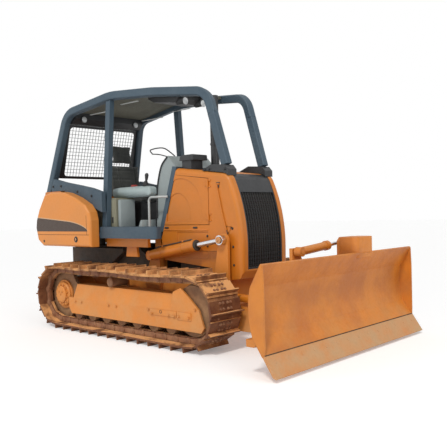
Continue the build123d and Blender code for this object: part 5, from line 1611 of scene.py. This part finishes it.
@dataclass
class LiftTrim:
    """Steel line, clamps and pin plates on the lift cylinders.

    Args:
        base: Base pin x, z.
        eye: Rod's eye x, z.
        across: From the machine's middle to a cylinder's middle.
        radius: The barrel's radius.
        length: From the base pin to the barrel's front.
    """

    base: tuple[float, float] = (0.106, 0.850)
    eye: tuple[float, float] = (1.149, 1.027)
    across: float = 0.462
    radius: float = 0.056
    length: float = 0.720

    def build(self) -> None:
        """Make the trim of both cylinders."""
        start = Vector((self.base[0], 0, self.base[1]))
        way = Vector((self.eye[0] - self.base[0], 0, self.eye[1] - self.base[1])).normalized()
        up = Vector((-way.z, 0, way.x))
        for side, barrel, rod in (
            (Side.RIGHT, Body.LIFT_BARREL_RIGHT, Body.LIFT_ROD_RIGHT),
            (Side.LEFT, Body.LIFT_BARREL_LEFT, Body.LIFT_ROD_LEFT),
        ):
            word, y = side.name.lower(), Vector((0, self.across * side.value, 0))
            line = Shape()
            high = self.radius + 0.012
            stops = (
                (0.085, self.radius * 0.8), (0.110, high), (0.300, high), (0.620, high), (0.655, high),
                (0.672, self.radius * 0.9)
            )
            line.tube([start + y + way * along + up * rise for along, rise in stops], 0.008, 10)
            line.place(f"lift_line_{word}", IRON, barrel)
            clamps = Shape()
            for along in (0.200, 0.520):
                clamps.turned(
                    ((0, 0), (self.radius + 0.0035, 0), (self.radius + 0.0035, 0.016), (0, 0.016)),
                    start + y + way * along, way, 28
                )
                foot = start + y + way * (along + 0.008) + up * high
                clamps.turned(
                    ((0, -0.006), (0.012, -0.006), (0.012, 0.010), (0.007, 0.013), (0, 0.013)), foot, up, 10
                )
            clamps.place(f"lift_clamps_{word}", PAINT, barrel)
            gland = Shape().turned(
                (
                    (0, 0), (self.radius + 0.001, 0), (self.radius + 0.001, 0.004), (0.040, 0.012),
                    (0.031, 0.012), (0.030, 0.004), (0, 0.004)
                ),
                start + y + way * self.length, way, 28,
            )
            gland.place(f"lift_gland_{word}", IRON, barrel)
            pin = Shape()
            outer = self.eye[0], (self.across + 0.032) * side.value, self.eye[1]
            pin.turned(
                ((0, 0), (0.034, 0), (0.034, 0.006), (0.030, 0.009), (0, 0.009)), outer, (0, side.value, 0),
                20
            )
            pin.turned(((0, 0), (0.010, 0), (0.010, 0.017), (0, 0.017)), outer, (0, side.value, 0), 6)
            pin.place(f"lift_pin_{word}", EDGE, rod)


# ---- operator's station -------------------------------------------------------------------------


@dataclass
class Pads:
    """Stuffed pads of the seat and armrests, blown up as cloth from their solids.

    Args:
        voxel: Size of the remesh.
        shrink: How much smaller a pad starts than its solid.
        cap: How far a point may move.
        pressure: Pressure inside the pad.
        frames: Steps of the simulation.
    """

    voxel: float = 0.011
    shrink: float = 0.009
    cap: float = 0.016
    pressure: float = 4.0
    frames: int = 20

    def _shell(self, node: str) -> bpy.types.Object:
        """Smaller remeshed copy of a pad's solid.

        Args:
            node: The solid's node.

        Returns:
            An object that holds the copy.
        """
        work = bmesh.new()
        work.from_mesh(frame["nodes"][node].data)
        bmesh.ops.remove_doubles(work, verts=work.verts, dist=1e-5)
        bmesh.ops.recalc_face_normals(work, faces=work.faces)
        low, high = (Vector(corner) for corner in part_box(node))
        centre, size = (low + high) / 2, high - low
        scale = [1 - 2 * self.shrink / extent for extent in size]
        for vert in work.verts:
            vert.co = centre + Vector([(c - m) * k for c, m, k in zip(vert.co, centre, scale)])
        data = bpy.data.meshes.new(node + "_shell")
        work.to_mesh(data)
        work.free()
        made = bpy.data.objects.new(node + "_shell", data)
        bpy.context.scene.collection.objects.link(made)
        change = made.modifiers.new("remesh", "REMESH")
        change.mode, change.voxel_size = "VOXEL", self.voxel
        soften = made.modifiers.new("soften", "SMOOTH")
        soften.factor, soften.iterations = 0.5, 6
        return self._applied(made)

    def _applied(self, made: bpy.types.Object) -> bpy.types.Object:
        """Bake an object's modifiers into its mesh.

        Args:
            made: The object.

        Returns:
            The same object, with no modifier left.
        """
        result = bpy.data.meshes.new_from_object(made.evaluated_get(bpy.context.evaluated_depsgraph_get()))
        made.modifiers.clear()
        made.data = result
        return made

    def _blow(self, made: bpy.types.Object) -> bpy.types.Object:
        """Blow a pad up as cloth, with each point's way capped.

        Args:
            made: The pad.

        Returns:
            The same object, with the result in its mesh.
        """
        rest = [vert.co.copy() for vert in made.data.vertices]
        cloth = made.modifiers.new("cloth", "CLOTH")
        cloth.settings.use_pressure = True
        cloth.settings.uniform_pressure_force = self.pressure
        cloth.settings.effector_weights.gravity = 0.0
        cloth.settings.quality = 3
        cloth.point_cache.frame_start, cloth.point_cache.frame_end = 1, self.frames
        for step in range(1, self.frames + 1):
            bpy.context.scene.frame_set(step)
        self._applied(made)
        bpy.context.scene.frame_set(1)
        for vert, start in zip(made.data.vertices, rest):
            way = vert.co - start
            if way.length > self.cap:
                vert.co = start + way.normalized() * self.cap
        return made

    def _held(self, made: bpy.types.Object, node: str, proud: float) -> None:
        """Keep a pad within its solid's box but for the given swell.

        Args:
            made: The pad.
            node: The solid's node.
            proud: How far it may stand out.
        """
        low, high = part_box(node)
        for vert in made.data.vertices:
            for axis in range(3):
                floor = low[axis] + 0.0005 if axis == 2 else low[axis] - proud
                vert.co[axis] = min(max(vert.co[axis], floor), high[axis] + proud)

    def pad(
        self, node: str, look: Finish | Cloth, channels: Sequence[tuple[int, float, float]],
        proud: float = 0.008
    ) -> bpy.types.Object:
        """Make one pad.

        Args:
            node: The node that it replaces.
            look: Its finish.
            channels: Sewn channels: the axis that each crosses, its share along that axis, and its depth.
            proud: How far the pad may stand out of its solid.

        Returns:
            The pad.
        """
        made = self._blow(self._shell(node))
        self._held(made, node, proud)
        finer = made.modifiers.new("finer", "SUBSURF")
        finer.levels = finer.render_levels = 1
        self._applied(made)
        low, high = (Vector(corner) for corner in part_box(node))
        normals = [vert.normal.copy() for vert in made.data.vertices]
        for vert, normal in zip(made.data.vertices, normals):
            lines = [
                (axis, low[axis] + (high[axis] - low[axis]) * share, depth) for axis, share,
                depth in channels
            ]
            pull = sum(
                depth * math.exp(-(((vert.co[axis] - line) / 0.010) ** 2)) for axis, line, depth in lines
            )
            vert.co -= normal * pull
        data = made.data
        data.name = node + "_pad"
        bpy.data.objects.remove(made)
        piece = hang(node + "_pad", data, look, sharp=80)
        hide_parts(node)
        return piece

    def build(self) -> None:
        """Make every pad."""
        across = tuple((1, share, 0.005) for share in (0.24, 0.76))
        self.pad("seat_cushion", CLOTH, (*across, (0, 0.33, 0.004), (0, 0.66, 0.004)))
        self.pad(
            "seat_back", CLOTH, (*across, (2, 0.30, 0.004), (2, 0.55, 0.004), (2, 0.80, 0.004))
        )
        self.pad("seat_head", CLOTH, ((2, 0.5, 0.004),))
        self.pad("armrests", VINYL, (), 0.004)


@dataclass
class Cab:
    """Controls, trim and small pieces round the seat.

    Args:
        floor_z: Top of the floor.
        sill_x: Rear and front end of it.
        sill_z: Its top.
        stud_step: Distance of the tread studs.
    """

    floor_z: float = 1.100
    sill_x: tuple[float, float] = (-0.512, 0.440)
    sill_z: float = 1.165
    stud_step: float = 0.030

    def _tread(self) -> None:
        """Tread studs on the floor and the sills."""
        spots = []
        fields = [(-0.28, 0.02, -0.55, 0.55, self.floor_z)]
        fields += [
            (
                self.sill_x[0] + 0.02, self.sill_x[1] - 0.04, side * 0.64 - 0.03, side * 0.64 + 0.03,
                self.sill_z
            ) for side in (-1, 1)
        ]
        for x0, x1, y0, y1, z in fields:
            for i in range(int((x1 - x0) / self.stud_step)):
                for j in range(int((y1 - y0) / self.stud_step) + 1):
                    turn = math.pi / 4 if (i + j) % 2 else -math.pi / 4
                    spots.append(
                        ((x0 + i * self.stud_step, y0 + j * self.stud_step, z + 0.0006), (0, 0, turn))
                    )
        Studs().run("tread_studs", spots_mesh(spots, "turn"), SLATE)

    def _console(self) -> None:
        """Raised side covers, screws and latches of the consoles."""
        face = 0.560
        cover = Shape().block((-0.775, -face - 0.006, 1.120), (-0.380, -face + 0.004, 1.474), 0.010)
        cover.mirrored().place("console_covers", BEIGE)
        screws = Shape()
        for x in (-0.735, -0.475):
            for z in (1.160, 1.440):
                screws.turned(
                    ((0, 0), (0.009, 0), (0.009, 0.002), (0.004, 0.004), (0, 0.004)), (x, -face - 0.006, z),
                    (0, -1, 0), 12
                )
        screws.mirrored().place("console_screws", BLACK)
        latch = Shape().block((-0.425, -face - 0.012, 1.205), (-0.402, -face - 0.002, 1.275), 0.004)
        latch.mirrored().place("console_latches", BLACK)
        trunk = Shape().block((-0.352, -0.545, 1.1006), (-0.300, -0.330, 1.470), 0.016)
        trunk.mirrored().place("console_fronts", GREY)

    def _controls(self) -> None:
        """Knobs and boots of the levers, pedals, foot rests, and the belt with its buckle."""
        knobs, boots = Shape(), Shape()
        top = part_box("levers")[1][2]
        pear = (
            (0, -0.052), (0.014, -0.050), (0.017, -0.030), (0.020, -0.008), (0.022, 0.008), (0.017, 0.022),
            (0.008, 0.029), (0, 0.030)
        )
        knobs.turned(pear, (-0.022, -0.385, top - 0.012), (0.16, 0, 1), 20)
        for i in range(4):
            wide, foot = 0.034 - 0.005 * i, 1.6125 + 0.013 * i
            ring = (
                (0, 0), (wide, 0), (wide + 0.004, 0.005), (wide, 0.010), (wide - 0.004, 0.013), (0, 0.013)
            )
            boots.turned(ring, (-0.040, -0.385, foot), (0, 0, 1), 20)
        knobs.mirrored().place("lever_knobs", PLASTIC)
        boots.mirrored().place("lever_boots", PLASTIC)
        pedals = Shape()
        for y in (-0.17, 0.10):
            pedals.prism(
                ((-0.075, 1.128), (-0.002, 1.218), (0.004, 1.212), (-0.068, 1.122)), y - 0.045, y + 0.045,
                "xz", 0.003
            )
            pedals.tube(((0.030, y, 1.100), (0.010, y, 1.150), (-0.034, y, 1.172)), 0.009, 8, 3)
        pedals.place("pedals", PLASTIC)
        rests = Shape().prism(
            ((-0.075, 1.1006), (0.018, 1.1006), (0.018, 1.235), (-0.005, 1.235)), -0.505, -0.300, "xz",
            0.008
        )
        rests.mirrored().place("foot_rests", GREY)
        belt = Shape()
        for y in (-0.262, 0.262):
            path = (
                (-0.760, y, 1.470), (-0.740, y, 1.560), (-0.690, y * 0.96, 1.600),
                (-0.600, y * 0.86, 1.604)
            )
            line = smooth_path(path, 5)
            outline = [(p.x, p.z) for p in line] + [(p.x - 0.002, p.z + 0.003) for p in reversed(line)]
            belt.prism(outline, y - 0.022, y + 0.022, "xz")
        belt.place("seat_belt", WEBBING)
        buckle = Shape().block((-0.415, -0.300, 1.6000), (-0.345, -0.250, 1.640), 0.008)
        buckle.place("belt_buckle", RED)

    def _dash(self) -> None:
        """Gauges, switches and the wire loop at the dash."""
        foot, head = Vector((0.073, 0, 1.658)), Vector((0.138, 0, 1.819))
        way = (head - foot).normalized()
        out = Vector((-way.z, 0, way.x))
        rims, dials, switches = Shape(), Shape(), Shape()
        for y in (-0.150, 0.0, 0.150):
            centre = foot + way * 0.100 + Vector((0, y, 0))
            rims.turned(
                (
                    (0.044, 0), (0.050, 0), (0.050, 0.006), (0.046, 0.010), (0.042, 0.007), (0.042, 0),
                    (0.044, 0)
                ),
                centre, out, 28
            )
            dials.turned(((0, 0.001), (0.042, 0.001), (0.042, 0.003), (0, 0.004)), centre, out, 28)
        for i in range(5):
            centre = foot + way * 0.030 + Vector((0, -0.16 + 0.08 * i, 0))
            switches.turned(
                ((0, 0), (0.013, 0), (0.012, 0.006), (0.005, 0.007), (0.005, 0.022), (0, 0.023)), centre,
                out, 12
            )
        rims.place("gauge_rims", BLACK)
        dials.place("gauge_dials", PLASTIC)
        switches.place("dash_switches", BLACK)
        loop = Shape().tube(
            (
                (-0.212, -0.130, 1.989), (-0.277, -0.100, 2.044), (-0.079, -0.085, 2.051),
                (0.088, -0.095, 1.970), (0.180, -0.105, 1.905)
            ),
            0.007, 8, 5,
        )
        loop.tube(
            (
                (-0.212, -0.130, 1.989), (-0.100, -0.120, 1.975), (0.040, -0.110, 1.935),
                (0.150, -0.105, 1.880)
            ),
            0.006, 8, 4
        )
        loop.place("mirror_loop", BLACK)
        trim = Shape()
        for y in (-0.318, 0.318):
            trim.tube(
                (
                    (0.062, y, 1.25), (0.066, y, 1.50), (0.090, y, 1.66), (0.150, y, 1.822),
                    (0.245, y, 1.912)
                ),
                0.008, 8, 5
            )
        trim.place("dash_edges", PLASTIC)

    def build(self) -> None:
        """Make every piece round the seat."""
        self._tread()
        self._console()
        self._controls()
        self._dash()


@dataclass
class Canopy:
    """Lamps, strips and bolts of the canopy.

    Args:
        header_x: Rear face of the rear header.
        lamp_spots: Places y, z of the round lamps on the rear header.
    """

    header_x: float = -1.290
    lamp_spots: tuple[tuple[float, float], ...] = ((-0.400, 2.475), (0.400, 2.475))

    def build(self) -> None:
        """Make the canopy's pieces."""
        shells, lenses = Shape(), Shape()
        for y, z in self.lamp_spots:
            for way, face in ((-1, self.header_x + 0.012), (1, self.header_x + 0.115)):
                bowl = (
                    (0, -0.01), (0.034, -0.01), (0.042, 0.022), (0.044, 0.030), (0.040, 0.030),
                    (0.038, 0.024), (0, 0.024)
                )
                shells.turned(bowl, (face, y, z), (way, 0, 0), 24)
                lenses.turned(
                    ((0, 0.0245), (0.037, 0.0245), (0.030, 0.030), (0.014, 0.033), (0, 0.034)),
                    (face, y, z), (way, 0, 0), 24
                )
        shells.place("header_lamps", BLACK)
        lenses.place("header_lenses", LENS)
        front = Shape()
        for y in (-0.230, 0.040):
            front.turned(
                ((0, 0), (0.039, 0), (0.034, 0.005), (0.016, 0.008), (0, 0.009)), (0.4655, y, 2.497),
                (1, 0, 0), 24
            )
        front.place("roof_lenses", LENS)
        strips = Shape()
        for x0, x1, z in ((-1.02, -0.62, 2.512), (-0.42, -0.12, 2.556)):
            strips.block((x0, -0.415, z), (x1, -0.385, z + 0.006), 0.002)
        strips.mirrored().place("roof_strips", PALE)
        heads = []
        for x in (0.845, 0.905, 1.120):
            heads += [((x, side * 0.3475, 1.735 if x < 1 else 1.722), (0, side, 0)) for side in (-1, 1)]
        heads += [
            ((x, side * 0.6998, z), (0, side, 0)) for side in (-1, 1) for x,
            z in ((-1.41, 1.66), (-1.24, 1.66), (-0.90, 1.58), (-0.62, 1.52))
        ]
        HexHeads().run(
            "canopy_bolts", spots_mesh(heads, "axis"), BLACK, Head_Radius=0.010
        )


@dataclass
class Pods:
    """Seam, latch, fastener and caps of the fender pods.

    Args:
        side_y: The pods' outer side.
        seam_z: Height of the lower seam.
        seam_x: Its rear and front end.
    """

    side_y: float = 0.820
    seam_z: float = 1.080
    seam_x: tuple[float, float] = (-1.600, -0.520)

    def build(self) -> None:
        """Make the pieces of both pods."""
        y = -self.side_y
        seam = Shape().prism(
            (
                (self.seam_x[0], self.seam_z), (self.seam_x[1], self.seam_z),
                (self.seam_x[1], self.seam_z + 0.004), (self.seam_x[0], self.seam_z + 0.004)
            ),
            y - 0.0006, y + 0.002, "xz",
        )
        seam.prism(
            ((-0.566, self.seam_z), (-0.562, self.seam_z), (-0.566, 1.300), (-0.570, 1.300)), y - 0.0006,
            y + 0.002, "xz"
        )
        seam.mirrored().place("pod_seams", SHADOW)
        latch = Shape().turned(
            ((0, 0), (0.030, 0), (0.034, 0.003), (0.030, 0.006), (0.024, 0.004), (0, 0.004)),
            (-0.775, y, 1.030), (0, -1, 0), 28
        )
        latch.mirrored().place("pod_latches", BLACK)
        key = Shape().block((-0.779, y - 0.011, 1.012), (-0.771, y - 0.003, 1.048), 0.002)
        key.turned(
            ((0, 0), (0.011, 0), (0.010, 0.004), (0, 0.005)), (-0.775, y - 0.003, 1.030), (0, -1, 0), 16
        )
        key.mirrored().place("pod_keys", EDGE)
        cups = Shape().turned(
            ((0, 0), (0.016, 0), (0.016, 0.002), (0.012, 0.004), (0.010, 0.001), (0, 0.001)),
            (-1.453, y, 1.004), (0, -1, 0), 18
        )
        cups.mirrored().place("pod_fasteners", IRON)
        caps = Shape()
        for x, z in ((-1.395, 1.600), (-1.270, 1.600)):
            caps.turned(
                ((0, -0.004), (0.044, -0.004), (0.044, 0.012), (0.038, 0.020), (0.014, 0.024), (0, 0.024)),
                (x, -0.640, z), (0, 0, 1), 24
            )
        caps.mirrored().place("tank_caps", PAINT)


# ---- studio ------------------------------------------------------------------------------------


@dataclass
class Studio:
    """Floor, lights and camera.

    Args:
        eye: Place of the camera.
        yaw: Turn of the view from +Y towards -X, in radians.
        pitch: Downward tilt, in radians.
        roll: Turn about the view's line, in radians.
        focal: Focal length in widths of the picture.
        floor_half: Half the floor's side.
    """

    eye: Point = (4.9736, -4.8491, 1.29)
    yaw: float = 0.751
    pitch: float = 0.017
    roll: float = -0.025
    focal: float = 622.2 / 447
    floor_half: float = 60.0

    def build(self) -> None:
        """Make the floor, the world, the lamps and the camera."""
        self._floor()
        self._world()
        self._lamps()
        self._camera()

    def _floor(self) -> None:
        """Plain white floor that keeps the shadow."""
        mesh = bpy.data.meshes.new("floor")
        half = self.floor_half
        mesh.from_pydata(
            [(-half, -half, 0), (half, -half, 0), (half, half, 0), (-half, half, 0)], [], [(0, 1, 2, 3)]
        )
        floor = bpy.data.objects.new("floor", mesh)
        bpy.context.scene.collection.objects.link(floor)
        made = bpy.data.materials.new("floor_white")
        made.use_nodes = True
        tree = Tree(made.node_tree)
        shader = made.node_tree.nodes["Principled BSDF"]
        tree.feed(
            shader, Base_Color=(0.86, 0.86, 0.86), Roughness=0.9, Emission_Color=(1.0, 1.0, 1.0),
            Emission_Strength=0.22
        )
        mesh.materials.append(made)

    def _world(self) -> None:
        """White to the camera, and a plain soft light to the rest."""
        world = bpy.data.worlds.new("studio")
        bpy.context.scene.world = world
        world.use_nodes = True
        world.node_tree.nodes.clear()
        tree = Tree(world.node_tree)
        light = tree.feed(tree.node("ShaderNodeBackground"), Color=(0.93, 0.96, 1.0), Strength=0.45)
        white = tree.feed(tree.node("ShaderNodeBackground"), Color=(1.0, 1.0, 1.0), Strength=1.0)
        path = tree.node("ShaderNodeLightPath")
        seen = tree.math("MAXIMUM", path.outputs["Is Camera Ray"], path.outputs["Is Glossy Ray"])
        seen = tree.math("MAXIMUM", seen, path.outputs["Is Transmission Ray"])
        mixed = tree.node("ShaderNodeMixShader")
        tree.feed(mixed, i0=seen, i1=light.outputs[0], i2=white.outputs[0])
        tree.feed(tree.node("ShaderNodeOutputWorld"), Surface=mixed.outputs[0])

    def _lamps(self) -> None:
        """A key sun from the front right and two soft fills."""
        sun = bpy.data.lights.new("key", "SUN")
        sun.energy = 1.70
        sun.angle = math.radians(9)
        sun.color = (1.0, 0.97, 0.92)
        key = bpy.data.objects.new("key", sun)
        key.rotation_euler = Vector((-0.35, 0.75, -1.0)).to_track_quat("-Z", "Y").to_euler()
        bpy.context.scene.collection.objects.link(key)
        for name, place, size, power in (
            ("fill_front", (6.0, -2.0, 3.5), 4.0, 75.0), ("fill_side", (-3.0, -7.0, 3.5), 4.0, 60.0)
        ):
            lamp = bpy.data.lights.new(name, "AREA")
            lamp.energy = power
            lamp.size = size
            made = bpy.data.objects.new(name, lamp)
            made.location = place
            made.rotation_euler = (Vector((0, 0, 1.0)) - Vector(place)).to_track_quat("-Z", "Y").to_euler()
            bpy.context.scene.collection.objects.link(made)

    def _camera(self) -> None:
        """Camera at the view's own place and angle."""
        lens = bpy.data.cameras.new("camera")
        lens.sensor_width = 36.0
        lens.lens = self.focal * lens.sensor_width
        made = bpy.data.objects.new("camera", lens)
        ahead = Vector(
            (
                -math.sin(self.yaw) * math.cos(self.pitch), math.cos(self.yaw) * math.cos(self.pitch),
                -math.sin(self.pitch)
            )
        )
        turn = ahead.to_track_quat("-Z", "Y").to_matrix().to_4x4() @ Matrix.Rotation(self.roll, 4, "Z")
        made.matrix_world = Matrix.Translation(self.eye) @ turn
        bpy.context.scene.collection.objects.link(made)
        bpy.context.scene.camera = made


def main() -> None:
    """Build the scene in order and report each piece."""
    logging.basicConfig(level=logging.INFO)
    bpy.context.scene.view_settings.view_transform = "Standard"
    dress_nodes()
    for maker in (Chain(), FrameTrim(), Hood(), Blade(), LiftTrim(), Pads(), Cab(), Canopy(), Pods()):
        maker.build()
    Studio().build()
    LOG.info("scene built")


if __name__ == "__main__":
    main()
